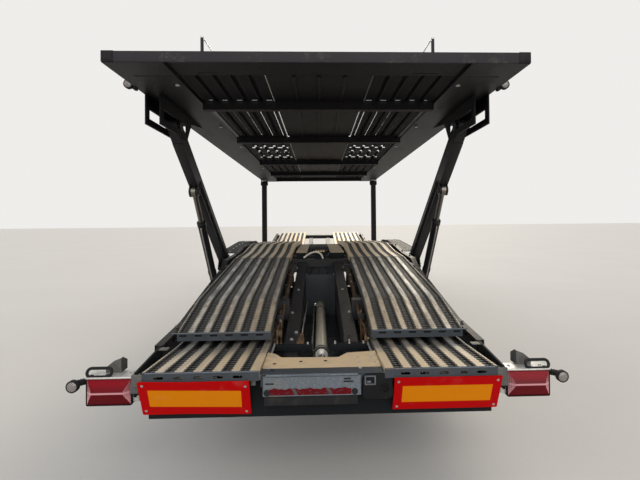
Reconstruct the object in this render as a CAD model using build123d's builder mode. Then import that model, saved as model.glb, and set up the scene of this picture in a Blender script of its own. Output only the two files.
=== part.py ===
# Two-deck centre-axle car transporter trailer, in millimetres.
# +X is right, +Y is forward, +Z is up, and the ground is z = 0. Places along the trailer are
# stations: distances forward from its rearmost point, the top edges of the marking plates.
from build123d import *
import math
import os

os.makedirs("parts", exist_ok=True)

SIDES = (("left", -1), ("right", 1))

# Overall layout
body_length = 9400
drawbar_reach = 1500
overall_length = body_length + drawbar_reach
deck_half_width = 1235
slide_gap = 0.3
seat_gap = 0.5
pin_gap = 0.05

# Tail lamps
lamp_outer = deck_half_width + 40
lamp_inner = lamp_outer - 240
lamp_face = 156
lamp_bottom = 503
lamp_top = 647
lens_depth = 34
lamp_back = 260

# Lower tracks: top surface of the ribs as (station, height)
LOWER_LINE = (
    (650, 778),
    (1210, 908),
    (2810, 1090),
    (3400, 1112),
    (4100, 1180),
    (5600, 1150),
    (6250, 965),
    (7300, 930),
    (8200, 1056),
    (body_length, 1200),
)
incline_end = 2810
hump_end = 6250
seam_gap = 4
track_inner = 325
side_rail_inner = deck_half_width - 235
track_outer = side_rail_inner - 75
track_depth = 50
rib_count = 6
rib_width = 48
rib_height = 22
sheet = 6
edge_flange = 2 * sheet
lip_slot_length = 50
lip_slot_height = 14
lip_slot_drop = 18
rear_lip_slot_drop = 28

# Rear extension
rear_track_outer = track_outer - 5
rear_track_start = 15
rear_track_end = 1900
rear_track_depth = 50
REAR_LINE = ((rear_track_start, 724), (600, 700), (rear_track_end, 700))
rear_slot_count = 5
beam_face = 120
beam_depth = 100
underrun_bottom = 450
underrun_depth = 70
slide_tube_width = 70
slide_tube_top = 640
slide_tube_height = 78
extension_stroke = 1100

# Chassis rails: top of the rail as (station, height)
RAIL_LINE = (
    (700, 680),
    (2100, 895),
    (2850, 1000),
    (4200, 1115),
    (5500, 1085),
    (6200, 890),
    (7300, 850),
    (8200, 960),
    (9300, 1090),
)
rail_start = 700
rail_end = 9300
rail_centre = 200
rail_width = 90
rail_depth = 150
guide_web = 10
guide_lip = 12
guide_lip_reach = 60
guide_end = 2000

# Outriggers under the lower tracks: (station, width along the trailer, depth)
outrigger_depth = 70
OUTRIGGERS = (
    (1330, 70, 150),
    (2660, 90, outrigger_depth),
    (3110, 80, 90),
    (3420, 150, outrigger_depth),
    (4230, 130, outrigger_depth),
    (4730, 150, outrigger_depth),
    (5480, 130, outrigger_depth),
    (6600, 80, 80),
    (7900, 140, 80),
    (9300, 90, 80),
)

# Side frames: behind the hump the rails lie lower than the tracks
side_rail_width = 50
side_rail_drop = 20
side_rail_depth = 130
side_rail_start = 600
SIDE_LINE = (
    (170, 678),
    (side_rail_start, 715),
    (1150, 748),
    (1800, 860),
    (2500, 972),
    *((s, z - side_rail_drop) for s, z in LOWER_LINE if s >= incline_end),
)
side_slot_length = 60
side_slot_height = 24
side_slot_drop = 32
side_slot_pitch = 156
side_slot_count = 13
tail_plate_start = SIDE_LINE[0][0]
tail_plate_end = side_rail_start - 8
tail_plate_inner = side_rail_inner + 5
tail_plate_thickness = 12

# Wheels, axles and suspension
axle_stations = (("rear", 3750), ("front", 5060))
tyre_radius = 394.5
tyre_width = 235
tyre_bead_radius = 226
wheel_outer = deck_half_width + 27.5
twin_spacing = 285
spindle_radius = 45
axle_radius = 60
spring_x = 520
spring_radius = 130
arm_width = 80

# Upper deck
deck_rear = 270
deck_front = 8300
hinge_height = 2290
deck_bottom_front = hinge_height + 75
deck_bottom_rear = deck_bottom_front + 35
member_inner = deck_half_width - 342
member_height = 65
member_tube = 70
deck_plate_rise = 20
upper_track_inner = 350
upper_track_outer = member_inner - 25
upper_channels = 5
infill_half_width = 325
rear_plate_depth = 300
front_plate_depth = 100
CROSS_TUBES = (1260, 2800, 4800, 6500, 7700)
SLOTTED_TUBES = (1260, 4800)
SLOT_STATIONS = (3550, 3950, 4420)

# Deck hinge on the front posts
post_station = 7900
post_width = 100
post_inner = deck_half_width - 113
hinge_pin_radius = 25
cheek = 10
cheek_gap = 6

# Lifting arms: places are (station, height)
arm_foot = (3500, 1030)
arm_head = (1460, hinge_height - 20)
arm_inner = deck_half_width - 97
arm_thickness = 79
arm_half_depth = 85
arm_pin_radius = 25
guide_slot_half = 34
guide_slot_stations = (1020, 1620)
guide_end_wall = 70
guide_below_head = 85
guide_nose_stations = (1650, 1780, 2250)
guide_nose_height = 50

# Lifting cylinders
cylinder_foot = (3050, 700)
eye_along_arm = 1600
eye_below_arm = 101
barrel_radius = 40
barrel_length = 1060
cylinder_rod_radius = 24
cylinder_pin_radius = 20
eye_radius = 52
eye_clearance = 14
eye_pocket_gap = 20

# Drawbar and support leg
eye_height = 410
eye_bore_radius = 25
eye_ring_radius = 55
drawbar_half_width = 90
drawbar_start = 6300
drawbar_knee = 8000
drawbar_nose = body_length - 400
drawbar_crossmembers = (6450, 7350)
leg_station = body_length + 400


def y_at(station):
    return station - overall_length / 2


def height_on(line, station):
    """Height of a (station, height) line at a station, straight between its points."""
    for (s0, z0), (s1, z1) in zip(line, line[1:]):
        if station <= s1:
            return z0 + (z1 - z0) * (station - s0) / (s1 - s0)
    return line[-1][1]


def run_of(line, start, end, drop):
    """The line's points from start to end, lowered by drop."""
    inner = [s for s, z in line if start < s < end]
    return [(s, height_on(line, s) - drop) for s in [start, *inner, end]]


def slab(points, x_a, x_b, mode=Mode.ADD):
    """Side profile of (station, height) points, extruded between two X values."""
    x_low, x_high = min(x_a, x_b), max(x_a, x_b)
    with BuildSketch(Plane.YZ.offset(x_low)) as profile:
        with BuildLine():
            Polyline(*[(y_at(s), z) for s, z in points], close=True)
        make_face()
    return extrude(profile.sketch, amount=x_high - x_low, mode=mode)


def strip(line, start, end, top_drop, bottom_drop, x_a, x_b, mode=Mode.ADD):
    """Slab between two lines that run parallel to a (station, height) line."""
    points = run_of(line, start, end, top_drop) + run_of(line, start, end, bottom_drop)[::-1]
    return slab(points, x_a, x_b, mode=mode)


def block(x_a, x_b, s_low, s_high, z_low, z_high, mode=Mode.ADD):
    """Box from two X values, two stations and two heights."""
    with Locations(((x_a + x_b) / 2, y_at((s_low + s_high) / 2), (z_low + z_high) / 2)):
        return Box(abs(x_b - x_a), s_high - s_low, z_high - z_low, mode=mode)


def cross_rod(station, height, radius, x_a, x_b, mode=Mode.ADD):
    """Cylinder along X between two X values."""
    with Locations(Location(((x_a + x_b) / 2, y_at(station), height), (0, 90, 0))):
        return Cylinder(radius, abs(x_b - x_a), mode=mode)


def long_rod(x, height, radius, s_low, s_high, mode=Mode.ADD):
    """Cylinder along Y between two stations."""
    with Locations(Location((x, y_at((s_low + s_high) / 2), height), (90, 0, 0))):
        return Cylinder(radius, s_high - s_low, mode=mode)


def post_rod(x, station, radius, z_low, z_high, mode=Mode.ADD):
    """Cylinder along Z between two heights."""
    with Locations((x, y_at(station), (z_low + z_high) / 2)):
        return Cylinder(radius, z_high - z_low, mode=mode)


def spaced(first, last, count):
    """Evenly spaced values from first to last."""
    return [first + (last - first) * i / (count - 1) for i in range(count)]


def rib_pitch(inner, outer):
    """Distance between the ribs of a track that has a rib at its inner edge and a channel at its outer."""
    return (outer - edge_flange - inner) / rib_count


def ribbed_track(line, start, end, inner, outer, ribs, sign, depth):
    """Planked track: folded sheet with raised ribs, given by their inner edges, on two edge flanges."""
    strip(line, start, end, rib_height, rib_height + sheet, sign * inner, sign * outer)
    for x_rib in ribs:
        strip(line, start, end, 0, rib_height, sign * x_rib, sign * (x_rib + rib_width))
        strip(line, start, end, sheet, rib_height + sheet, sign * (x_rib + sheet),
              sign * (x_rib + rib_width - sheet), mode=Mode.SUBTRACT)
    for x_edge in (inner, outer - edge_flange):
        strip(line, start, end, 0, depth, sign * x_edge, sign * (x_edge + edge_flange))


def end_lip(line, start, inner, outer, slot_places, slot_drop, sign, depth):
    """Folded lip that closes a track's rear end up to the ribs' tops, with a row of oval slots."""
    strip(line, start, start + sheet, 0, depth, sign * inner, sign * outer)
    slot_height = height_on(line, start) - slot_drop
    with BuildSketch(Plane.XZ.offset(-y_at(start) + sheet)) as slots:
        with Locations(*[(sign * x, slot_height) for x in slot_places]):
            SlotOverall(lip_slot_length, lip_slot_height)
    extrude(slots.sketch, amount=-3 * sheet, mode=Mode.SUBTRACT)


def between(a, b, along, offset):
    """Point at a distance along the line from a to b, moved off it to its upper side."""
    length = math.hypot(b[0] - a[0], b[1] - a[1])
    ds, dz = (b[0] - a[0]) / length, (b[1] - a[1]) / length
    side = -1 if ds > 0 else 1
    return (a[0] + ds * along + side * dz * offset, a[1] + dz * along - side * ds * offset)


cylinder_eye = between(arm_foot, arm_head, eye_along_arm, -eye_below_arm)


def deck_bottom(station):
    slope = (deck_bottom_front - deck_bottom_rear) / (deck_front - deck_rear)
    return deck_bottom_rear + slope * (station - deck_rear)


DECK_LINE = ((deck_rear, deck_bottom(deck_rear)), (deck_front, deck_bottom(deck_front)))


# Main rails with the guides of the rear extension
web_outer = rail_centre + rail_width / 2
rail_inner = rail_centre - rail_width / 2
tube_inner = web_outer + slide_gap
tube_outer = tube_inner + slide_tube_width
tube_bottom = slide_tube_top - slide_tube_height
barrel_height = 600
extension_barrel_radius = 42.5
extension_rod_radius = 25
extension_barrel_end = 3150
gland_start = 740
gland_length = 60
gland_radius = 52
crossbar_start = 700
crossbar_width = 60
crossbar_top = barrel_height - gland_radius - 3
floor_height = barrel_height - extension_barrel_radius - 63.5
pan_end = 2590
open_well_end = 3000
drawbar_top = 720

with BuildPart() as main_rails:
    for side, sign in SIDES:
        strip(RAIL_LINE, rail_start, rail_end, 0, rail_depth, sign * rail_inner, sign * web_outer)
        web = [(rail_start, tube_bottom - slide_gap), (guide_end, tube_bottom - slide_gap)]
        web += run_of(RAIL_LINE, rail_start, guide_end, rail_depth / 2)[::-1]
        slab(web, sign * (web_outer - guide_web), sign * web_outer)
        for z_low, thickness in ((tube_bottom - slide_gap - guide_lip, guide_lip),
                                 (slide_tube_top + slide_gap, guide_lip / 2)):
            block(sign * (web_outer - guide_web), sign * (web_outer + guide_lip_reach), rail_start,
                  guide_end, z_low, z_low + thickness)
main_rails.part.label = "main_rails"
export_step(main_rails.part, "parts/main_rails.step")

# Outriggers, notched over the rails where they pass them
with BuildPart() as outriggers:
    for station, width, depth in OUTRIGGERS:
        strip(LOWER_LINE, station - width / 2, station + width / 2, track_depth, track_depth + depth,
              -side_rail_inner, side_rail_inner)
    for side, sign in SIDES:
        strip(SIDE_LINE, side_rail_start, incline_end, -side_rail_depth, 0, sign * track_outer,
              sign * side_rail_inner, mode=Mode.SUBTRACT)
        strip(RAIL_LINE, rail_start, rail_end, -seat_gap, rail_depth + seat_gap,
              sign * (rail_inner - seat_gap), sign * (web_outer + seat_gap), mode=Mode.SUBTRACT)
        web_notch = [(rail_start, tube_bottom), (guide_end, tube_bottom)]
        web_notch += run_of(RAIL_LINE, rail_start, guide_end, rail_depth / 2)[::-1]
        slab(web_notch, sign * (web_outer - guide_web - seat_gap), sign * (web_outer + seat_gap),
             mode=Mode.SUBTRACT)
    block(-web_outer, web_outer, rail_start, open_well_end, floor_height,
          height_on(LOWER_LINE, open_well_end), mode=Mode.SUBTRACT)
outriggers.part.label = "outriggers"
export_step(outriggers.part, "parts/outriggers.step")

# Centre pan between the rails, with its crossbars, and the drawbar's crossmembers
pan_side = rail_inner - seat_gap
with BuildPart() as centre_pan:
    block(-pan_side, pan_side, crossbar_start, crossbar_start + crossbar_width,
          floor_height - 14, crossbar_top)
    block(-pan_side, pan_side, crossbar_start + crossbar_width + seat_gap, pan_end - seat_gap,
          floor_height, floor_height + sheet)
    block(-pan_side, pan_side, pan_end, pan_end + 10, floor_height, height_on(RAIL_LINE, pan_end + 5) - 40)
    long_rod(0, barrel_height, extension_barrel_radius + slide_gap, pan_end - 10, pan_end + 20,
             mode=Mode.SUBTRACT)
    block(-pan_side, pan_side, extension_barrel_end, extension_barrel_end + 50,
          barrel_height - 60, height_on(RAIL_LINE, extension_barrel_end) - 40)
    for station in drawbar_crossmembers:
        block(-pan_side, pan_side, station, station + 150, drawbar_top, drawbar_top + 100)
centre_pan.part.label = "centre_pan"
export_step(centre_pan.part, "parts/centre_pan.step")

# Lower tracks, one plank set each side in three lengths: (name, start, end)
LOWER_TRACKS = (
    ("incline_track", LOWER_LINE[0][0], incline_end),
    ("hump_track", incline_end + seam_gap, hump_end),
    ("front_track", hump_end + seam_gap, body_length),
)
lower_pitch = rib_pitch(track_inner, track_outer)
LOWER_RIBS = [track_inner + i * lower_pitch for i in range(rib_count)]
LOWER_CHANNELS = [x + (rib_width + lower_pitch) / 2 for x in LOWER_RIBS]
for name, start, end in LOWER_TRACKS:
    for side, sign in SIDES:
        with BuildPart() as lower_track:
            ribbed_track(LOWER_LINE, start, end, track_inner, track_outer, LOWER_RIBS, sign, track_depth)
            if start == LOWER_LINE[0][0]:
                end_lip(LOWER_LINE, start, track_inner, track_outer, LOWER_CHANNELS, lip_slot_drop, sign,
                        track_depth)
        lower_track.part.label = f"{name}_{side}"
        export_step(lower_track.part, f"parts/{name}_{side}.step")

# Side frames: box rail, arm bracket with its fixed pin, cylinder bracket with its pin, post foot
side_rail_outer = side_rail_inner + side_rail_width
arm_outer = arm_inner + arm_thickness
arm_middle = (arm_inner + arm_outer) / 2
bracket_outer = arm_outer + cheek_gap + cheek
foot_seat = arm_foot[1] - arm_half_depth - 8
post_foot_top = 1000
for side, sign in SIDES:
    with BuildPart() as side_frame:
        strip(SIDE_LINE, side_rail_start, body_length, 0, side_rail_depth, sign * side_rail_inner,
              sign * side_rail_outer)
        for i in range(side_slot_count):
            station = side_rail_start + side_slot_pitch * (i + 0.5)
            rise = height_on(SIDE_LINE, station + 1) - height_on(SIDE_LINE, station)
            spot = (y_at(station), height_on(SIDE_LINE, station) - side_slot_drop)
            with BuildSketch(Plane.YZ.offset(min(sign * side_rail_inner, sign * side_rail_outer))) as slot:
                with Locations(Location((*spot, 0), (0, 0, math.degrees(math.atan(rise))))):
                    SlotOverall(side_slot_length, side_slot_height)
            extrude(slot.sketch, amount=side_rail_width, mode=Mode.SUBTRACT)
        block(sign * side_rail_outer, sign * bracket_outer, arm_foot[0] - 120, arm_foot[0] + 120,
              foot_seat - 30, foot_seat)
        block(sign * (side_rail_outer - 20), sign * (side_rail_outer + 20), arm_foot[0] - 120,
              arm_foot[0] + 120, foot_seat - 30, arm_foot[1])
        for x_cheek in (arm_inner - cheek_gap - cheek, arm_outer + cheek_gap):
            slab([(arm_foot[0] - 110, foot_seat - 10), (arm_foot[0] + 110, foot_seat - 10),
                  (arm_foot[0] + 50, arm_foot[1] + 50), (arm_foot[0] - 50, arm_foot[1] + 50)],
                 sign * x_cheek, sign * (x_cheek + cheek))
        cross_rod(arm_foot[0], arm_foot[1], arm_pin_radius,
                  sign * (arm_inner - cheek_gap - cheek), sign * bracket_outer)
        slab([(cylinder_foot[0] - 90, cylinder_foot[1] - 60), (cylinder_foot[0] + 60, cylinder_foot[1] - 60),
              (cylinder_foot[0] + 90, 1060), (cylinder_foot[0] - 90, 1060)],
             sign * (side_rail_outer - 10), sign * (side_rail_outer + 50))
        cross_rod(cylinder_foot[0], cylinder_foot[1], cylinder_pin_radius,
                  sign * side_rail_outer, sign * (arm_outer + cheek_gap))
        block(sign * (side_rail_outer - 10), sign * (post_inner + post_width), post_station - 80,
              post_station + 80, 870, post_foot_top)
    side_frame.part.label = f"side_frame_{side}"
    export_step(side_frame.part, f"parts/side_frame_{side}.step")

# Mudguards with the arched side covers over both wheels
cover_start = 3640
cover_end = 6100
cover_inner = side_rail_outer
cover_outer = deck_half_width + 15
COVER_LINE = ((cover_start, 1095), (4100, 1130), (5000, 1175), (5600, 1160), (cover_end, 1020))
guard_radius = tyre_radius + 75
guard_sheet = 8
guard_inner = wheel_outer - tyre_width - twin_spacing - 7.5
guard_half_angle = 68
for side, sign in SIDES:
    with BuildPart() as mudguard:
        strip(COVER_LINE, cover_start, cover_end, 0, guard_sheet, sign * cover_inner, sign * cover_outer)
        for x_edge in (cover_inner, cover_outer - guard_sheet):
            strip(COVER_LINE, cover_start, cover_end, 0, 60, sign * x_edge, sign * (x_edge + guard_sheet))
        for name, station in axle_stations:
            low_x = min(sign * guard_inner, sign * cover_outer)
            with BuildSketch(Plane.YZ.offset(low_x)) as arch:
                with BuildLine():
                    outer_arc = CenterArc((y_at(station), tyre_radius), guard_radius + guard_sheet,
                                          90 - guard_half_angle, 2 * guard_half_angle)
                    inner_arc = CenterArc((y_at(station), tyre_radius), guard_radius,
                                          90 - guard_half_angle, 2 * guard_half_angle)
                    Line(outer_arc @ 0, inner_arc @ 0)
                    Line(outer_arc @ 1, inner_arc @ 1)
                make_face()
            extrude(arch.sketch, amount=cover_outer - guard_inner)
            stay_bottom = tyre_radius + guard_radius + guard_sheet / 2
            slab([(station - 30, stay_bottom), (station + 30, stay_bottom),
                  (station + 30, height_on(COVER_LINE, station + 30) - 20),
                  (station - 30, height_on(COVER_LINE, station - 30) - 20)],
                 sign * cover_inner, sign * (cover_inner + guard_sheet))
    mudguard.part.label = f"mudguard_{side}"
    export_step(mudguard.part, f"parts/mudguard_{side}.step")

# Axles: tube with a spindle at each end
outer_tyre_x = wheel_outer - tyre_width / 2
inner_tyre_x = outer_tyre_x - twin_spacing
hub_inner = inner_tyre_x - tyre_width / 2 + 10
hub_outer = outer_tyre_x - 40
for name, station in axle_stations:
    with BuildPart() as axle:
        cross_rod(station, tyre_radius, axle_radius, -(hub_inner - 5), hub_inner - 5)
        cross_rod(station, tyre_radius, spindle_radius, -hub_outer, hub_outer)
    axle.part.label = f"axle_{name}"
    export_step(axle.part, f"parts/axle_{name}.step")

# Air suspension: trailing arm, air spring and hanger for each axle, one set each side
spring_station_offset = -330
hanger_station_offset = 480
arm_seat = tyre_radius + axle_radius
for side, sign in SIDES:
    with BuildPart() as suspension:
        for name, station in axle_stations:
            spring_station = station + spring_station_offset
            hanger_station = station + hanger_station_offset
            arm_a, arm_b = sign * (spring_x - arm_width / 2), sign * (spring_x + arm_width / 2)
            slab([(hanger_station + 50, 500), (hanger_station + 50, 560), (station, arm_seat + 60),
                  (spring_station - 80, 540), (spring_station - 80, 500), (station - 80, arm_seat),
                  (station + 80, arm_seat)], arm_a, arm_b)
            for foot_station, foot_bottom in ((hanger_station, 480), (spring_station, 850)):
                seat = run_of(LOWER_LINE, foot_station - 60, foot_station + 60, track_depth + outrigger_depth)
                slab([(foot_station - 60, foot_bottom), *seat, (foot_station + 60, foot_bottom)],
                     sign * (spring_x - 60), sign * (spring_x + 60))
            post_rod(sign * spring_x, spring_station, spring_radius, 530, 860)
    suspension.part.label = f"suspension_{side}"
    export_step(suspension.part, f"parts/suspension_{side}.step")

# Twin wheels: two tyres, and two rims on one hub
rim_radius = tyre_bead_radius
rim_wall = 10
disc_thickness = 14
shoulder = 30
for name, station in axle_stations:
    for side, sign in SIDES:
        with BuildPart() as tyres:
            for x_tyre in (inner_tyre_x, outer_tyre_x):
                half = tyre_width / 2
                with BuildSketch(Plane.XY) as section:
                    with BuildLine():
                        Polyline((x_tyre - half + shoulder, tyre_bead_radius),
                                 (x_tyre + half - shoulder, tyre_bead_radius),
                                 (x_tyre + half, tyre_bead_radius + 70),
                                 (x_tyre + half - shoulder / 2, tyre_radius - 14),
                                 (x_tyre + half - shoulder, tyre_radius),
                                 (x_tyre - half + shoulder, tyre_radius),
                                 (x_tyre - half + shoulder / 2, tyre_radius - 14),
                                 (x_tyre - half, tyre_bead_radius + 70), close=True)
                    make_face()
                revolve(section.sketch, axis=Axis.X)
        placed_tyres = tyres.part.moved(Location((0, y_at(station), tyre_radius)))
        if sign < 0:
            placed_tyres = placed_tyres.mirror(Plane.YZ)
        placed_tyres.label = f"tyres_{name}_{side}"
        export_step(placed_tyres, f"parts/tyres_{name}_{side}.step")

        with BuildPart() as rims:
            disc_x = (inner_tyre_x + outer_tyre_x) / 2
            for x_rim in (inner_tyre_x, outer_tyre_x):
                half = tyre_width / 2 - shoulder - 5
                with BuildSketch(Plane.XY) as barrel_section:
                    with Locations((x_rim, rim_radius - pin_gap - rim_wall / 2)):
                        Rectangle(2 * half, rim_wall)
                revolve(barrel_section.sketch, axis=Axis.X)
            for x_disc in (disc_x - disc_thickness, disc_x):
                with BuildSketch(Plane.XY) as disc_section:
                    with Locations((x_disc + disc_thickness / 2, (rim_radius - 1 + spindle_radius) / 2)):
                        Rectangle(disc_thickness, rim_radius - 1 - spindle_radius - 1)
                revolve(disc_section.sketch, axis=Axis.X)
            with BuildSketch(Plane.XY) as hub_section:
                with Locations(((hub_inner + hub_outer) / 2, (spindle_radius + pin_gap + 110) / 2)):
                    Rectangle(hub_outer - hub_inner, 110 - spindle_radius - pin_gap)
                with Locations((disc_x, (rim_radius - 1 + 100) / 2)):
                    Rectangle(outer_tyre_x - inner_tyre_x - tyre_width + 2 * shoulder + 30,
                              rim_radius - 1 - 100)
            revolve(hub_section.sketch, axis=Axis.X)
        placed_rims = rims.part.moved(Location((0, y_at(station), tyre_radius)))
        if sign < 0:
            placed_rims = placed_rims.mirror(Plane.YZ)
        placed_rims.label = f"rims_{name}_{side}"
        export_step(placed_rims, f"parts/rims_{name}_{side}.step")

# Drawbar, towing eye and support leg
drawbar_end = overall_length - 2 * eye_ring_radius - 90
with BuildPart() as drawbar:
    slab([(drawbar_start, drawbar_top - 160), (drawbar_start, drawbar_top), (drawbar_knee, drawbar_top),
          (drawbar_nose, eye_height + 150), (drawbar_end, eye_height + 70), (drawbar_end, eye_height - 70),
          (drawbar_nose - 100, eye_height - 30), (drawbar_knee - 100, drawbar_top - 180)],
         -drawbar_half_width, drawbar_half_width)
drawbar.part.label = "drawbar"
export_step(drawbar.part, "parts/drawbar.step")

eye_station = overall_length - eye_ring_radius
eye_thickness = 45
eye_shank_radius = 32
with BuildPart() as towing_eye:
    post_rod(0, eye_station, eye_ring_radius, eye_height - eye_thickness / 2, eye_height + eye_thickness / 2)
    long_rod(0, eye_height, eye_shank_radius, drawbar_end, eye_station - eye_ring_radius + 15)
    block(-60, 60, drawbar_end, drawbar_end + 20, eye_height - 60, eye_height + 60)
    post_rod(0, eye_station, eye_bore_radius, eye_height - 60, eye_height + 60, mode=Mode.SUBTRACT)
towing_eye.part.label = "towing_eye"
export_step(towing_eye.part, "parts/towing_eye.step")

leg_x = drawbar_half_width + 55
with BuildPart() as support_leg:
    block(leg_x - 45, leg_x + 45, leg_station - 45, leg_station + 45, 250, 800)
    block(leg_x - 35, leg_x + 35, leg_station - 35, leg_station + 35, 15, 260)
    block(leg_x - 100, leg_x + 100, leg_station - 90, leg_station + 90, 0, 15)
    block(drawbar_half_width, leg_x, leg_station - 100, leg_station + 100, 400, 520)
    cross_rod(leg_station, 740, 12, leg_x, leg_x + 150)
    post_rod(leg_x + 150, leg_station, 12, 640, 752)
support_leg.part.label = "support_leg"
export_step(support_leg.part, "parts/support_leg.step")

# Front posts with the deck's hinge pins
for side, sign in SIDES:
    with BuildPart() as front_post:
        block(sign * post_inner, sign * (post_inner + post_width), post_station - post_width / 2,
              post_station + post_width / 2, post_foot_top, hinge_height)
        cross_rod(post_station, hinge_height, post_width / 2, sign * post_inner,
                  sign * (post_inner + post_width))
        cross_rod(post_station, hinge_height, hinge_pin_radius, sign * (post_inner - cheek_gap - cheek),
                  sign * (post_inner + post_width + cheek_gap + cheek))
    front_post.part.label = f"front_post_{side}"
    export_step(front_post.part, f"parts/front_post_{side}.step")

# Extension cylinder: barrel fixed between the rails
with BuildPart() as extension_barrel:
    long_rod(0, barrel_height, extension_barrel_radius, gland_start, extension_barrel_end)
    long_rod(0, barrel_height, gland_radius, gland_start, gland_start + gland_length)
    long_rod(0, barrel_height, extension_rod_radius + pin_gap, gland_start, gland_start + 2000,
             mode=Mode.SUBTRACT)
    block(-30, 30, 1000, 1060, floor_height + sheet, barrel_height - extension_rod_radius - 10)
extension_barrel.part.label = "extension_barrel"
export_step(extension_barrel.part, "parts/extension_barrel.step")

valve_station = 3110
with BuildPart() as valve_block:
    valve_base = run_of(LOWER_LINE, valve_station - 40, valve_station + 40, track_depth)
    slab([*valve_base, (valve_station + 40, 1130), (valve_station - 40, 1130)], -60, 60)
valve_block.part.label = "valve_block"
export_step(valve_block.part, "parts/valve_block.step")

# Rear extension: tracks, frame, cover and everything on it
rear_pitch = rib_pitch(track_inner, rear_track_outer)
REAR_RIBS = [track_inner + i * rear_pitch for i in range(rib_count)]
REAR_SLOTS = spaced(REAR_RIBS[1] + rib_width / 4, REAR_RIBS[-1] + rib_width / 2, rear_slot_count)
for side, sign in SIDES:
    with BuildPart() as rear_track:
        ribbed_track(REAR_LINE, rear_track_start, rear_track_end, track_inner, rear_track_outer, REAR_RIBS,
                     sign, rear_track_depth)
        end_lip(REAR_LINE, rear_track_start, track_inner, rear_track_outer, REAR_SLOTS,
                rear_lip_slot_drop, sign, rear_track_depth)
    rear_track.part.label = f"rear_track_{side}"
    export_step(rear_track.part, f"parts/rear_track_{side}.step")

cover_half = track_inner - 7
cover_top = 704
cover_rear = 30
# Front edge of the sheet cover, left to right: (x, station)
COVER_EDGE = (
    (-cover_half, 430),
    (-cover_half + 43, 400),
    (-cover_half + 83, 325),
    (cover_half - 223, 310),
    (cover_half - 168, 400),
    (cover_half, 430),
)
cover_edge_round = 25
centre_box_end = 290
with BuildPart() as rear_frame:
    for side, sign in SIDES:
        block(sign * tube_inner, sign * tube_outer, beam_face, rear_track_end, tube_bottom, slide_tube_top)
        for start, width, reach in ((480, 60, tail_plate_inner + 2), (1790, 80, rear_track_outer)):
            strip(REAR_LINE, start, start + width, rear_track_depth, rear_track_depth + 50,
                  sign * (tube_outer - 5), sign * reach)
        strip(SIDE_LINE, tail_plate_start, tail_plate_end, 0, side_rail_depth, sign * tail_plate_inner,
              sign * (tail_plate_inner + tail_plate_thickness))
        strip(REAR_LINE, beam_face, beam_face + beam_depth, rear_track_depth, rear_track_depth + 100,
              sign * (cover_half + 7), sign * rear_track_outer)
        block(sign * (rear_track_outer - 40), sign * lamp_inner, 170, 230, 560, 620)
    block(-rear_track_outer, rear_track_outer, beam_face, beam_face + underrun_depth, underrun_bottom, 570)
    block(-(cover_half + 10), cover_half + 10, beam_face, centre_box_end, barrel_height - 45,
          barrel_height + 50)
    block(-cover_half + 20, cover_half - 20, beam_face, centre_box_end, barrel_height - 10, cover_top - 8)
rear_frame.part.label = "rear_frame"
export_step(rear_frame.part, "parts/rear_frame.step")

with BuildPart() as rear_cover:
    with BuildSketch(Plane.XY.offset(cover_top - 8)) as cover_outline:
        with BuildLine():
            Polyline((-cover_half, y_at(cover_rear)), *[(x, y_at(s)) for x, s in COVER_EDGE],
                     (cover_half, y_at(cover_rear)), close=True)
        make_face()
        inner_corners = cover_outline.vertices().filter_by(lambda v: abs(v.X) < cover_half - 1)
        fillet(inner_corners, radius=cover_edge_round)
    extrude(cover_outline.sketch, amount=8)
    block(-cover_half, cover_half, cover_rear, cover_rear + 8, 636, cover_top)
rear_cover.part.label = "rear_cover"
export_step(rear_cover.part, "parts/rear_cover.step")

# Taped plate on two stays, with a rolled top edge, and the panel of the sockets beside it
tape_left = -(cover_half - 13)
tape_right = cover_half - 118
tape_bottom = 593
tape_top = 693
with BuildPart() as tape_plate:
    slab([(12, tape_bottom), (18, tape_bottom), (26, tape_top), (20, tape_top)], tape_left, tape_right)
    cross_rod(21.7, tape_top + 2, 8, tape_left + 15, tape_right - 15)
    for x_stay in (tape_left + 25, tape_right - 65):
        block(x_stay, x_stay + 40, 15, beam_face, tape_bottom + 8, tape_bottom + 38)
tape_plate.part.label = "tape_plate"
export_step(tape_plate.part, "parts/tape_plate.step")

panel_rear = 55
panel_bottom = 560
panel_top = 690
plate_inner = cover_half + 56
with BuildPart() as socket_panel:
    block(tape_right + 12, cover_half, panel_rear, beam_face, panel_bottom, panel_top)
    block(cover_half - 18, plate_inner - 6, panel_rear, beam_face, panel_bottom, panel_top - 35)
socket_panel.part.label = "socket_panel"
export_step(socket_panel.part, "parts/socket_panel.step")

# Marking plates, tilted with their bottoms forward, on wedge brackets
plate_width = lamp_inner - 96 - plate_inner
plate_height = 215
plate_thickness = 6
plate_tilt = math.radians(26)
plate_top = 676
plate_down = (math.sin(plate_tilt), -math.cos(plate_tilt))
plate_in = (math.cos(plate_tilt), math.sin(plate_tilt))


def plate_point(down, inward):
    return (plate_down[0] * down + plate_in[0] * inward,
            plate_top + plate_down[1] * down + plate_in[1] * inward)


for side, sign in SIDES:
    with BuildPart() as marking_plate:
        slab([plate_point(0, 0), plate_point(0, plate_thickness),
              plate_point(plate_height, plate_thickness), plate_point(plate_height, 0)],
             sign * plate_inner, sign * (plate_inner + plate_width))
        for x_wedge in (plate_inner + 80, plate_inner + plate_width - 100):
            upper = plate_point(30, plate_thickness - 1)
            lower = plate_point(plate_height - 40, plate_thickness - 1)
            slab([upper, (beam_face, upper[1]), (beam_face, lower[1]), lower],
                 sign * x_wedge, sign * (x_wedge + 20))
    marking_plate.part.label = f"marking_plate_{side}"
    export_step(marking_plate.part, f"parts/marking_plate_{side}.step")

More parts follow.
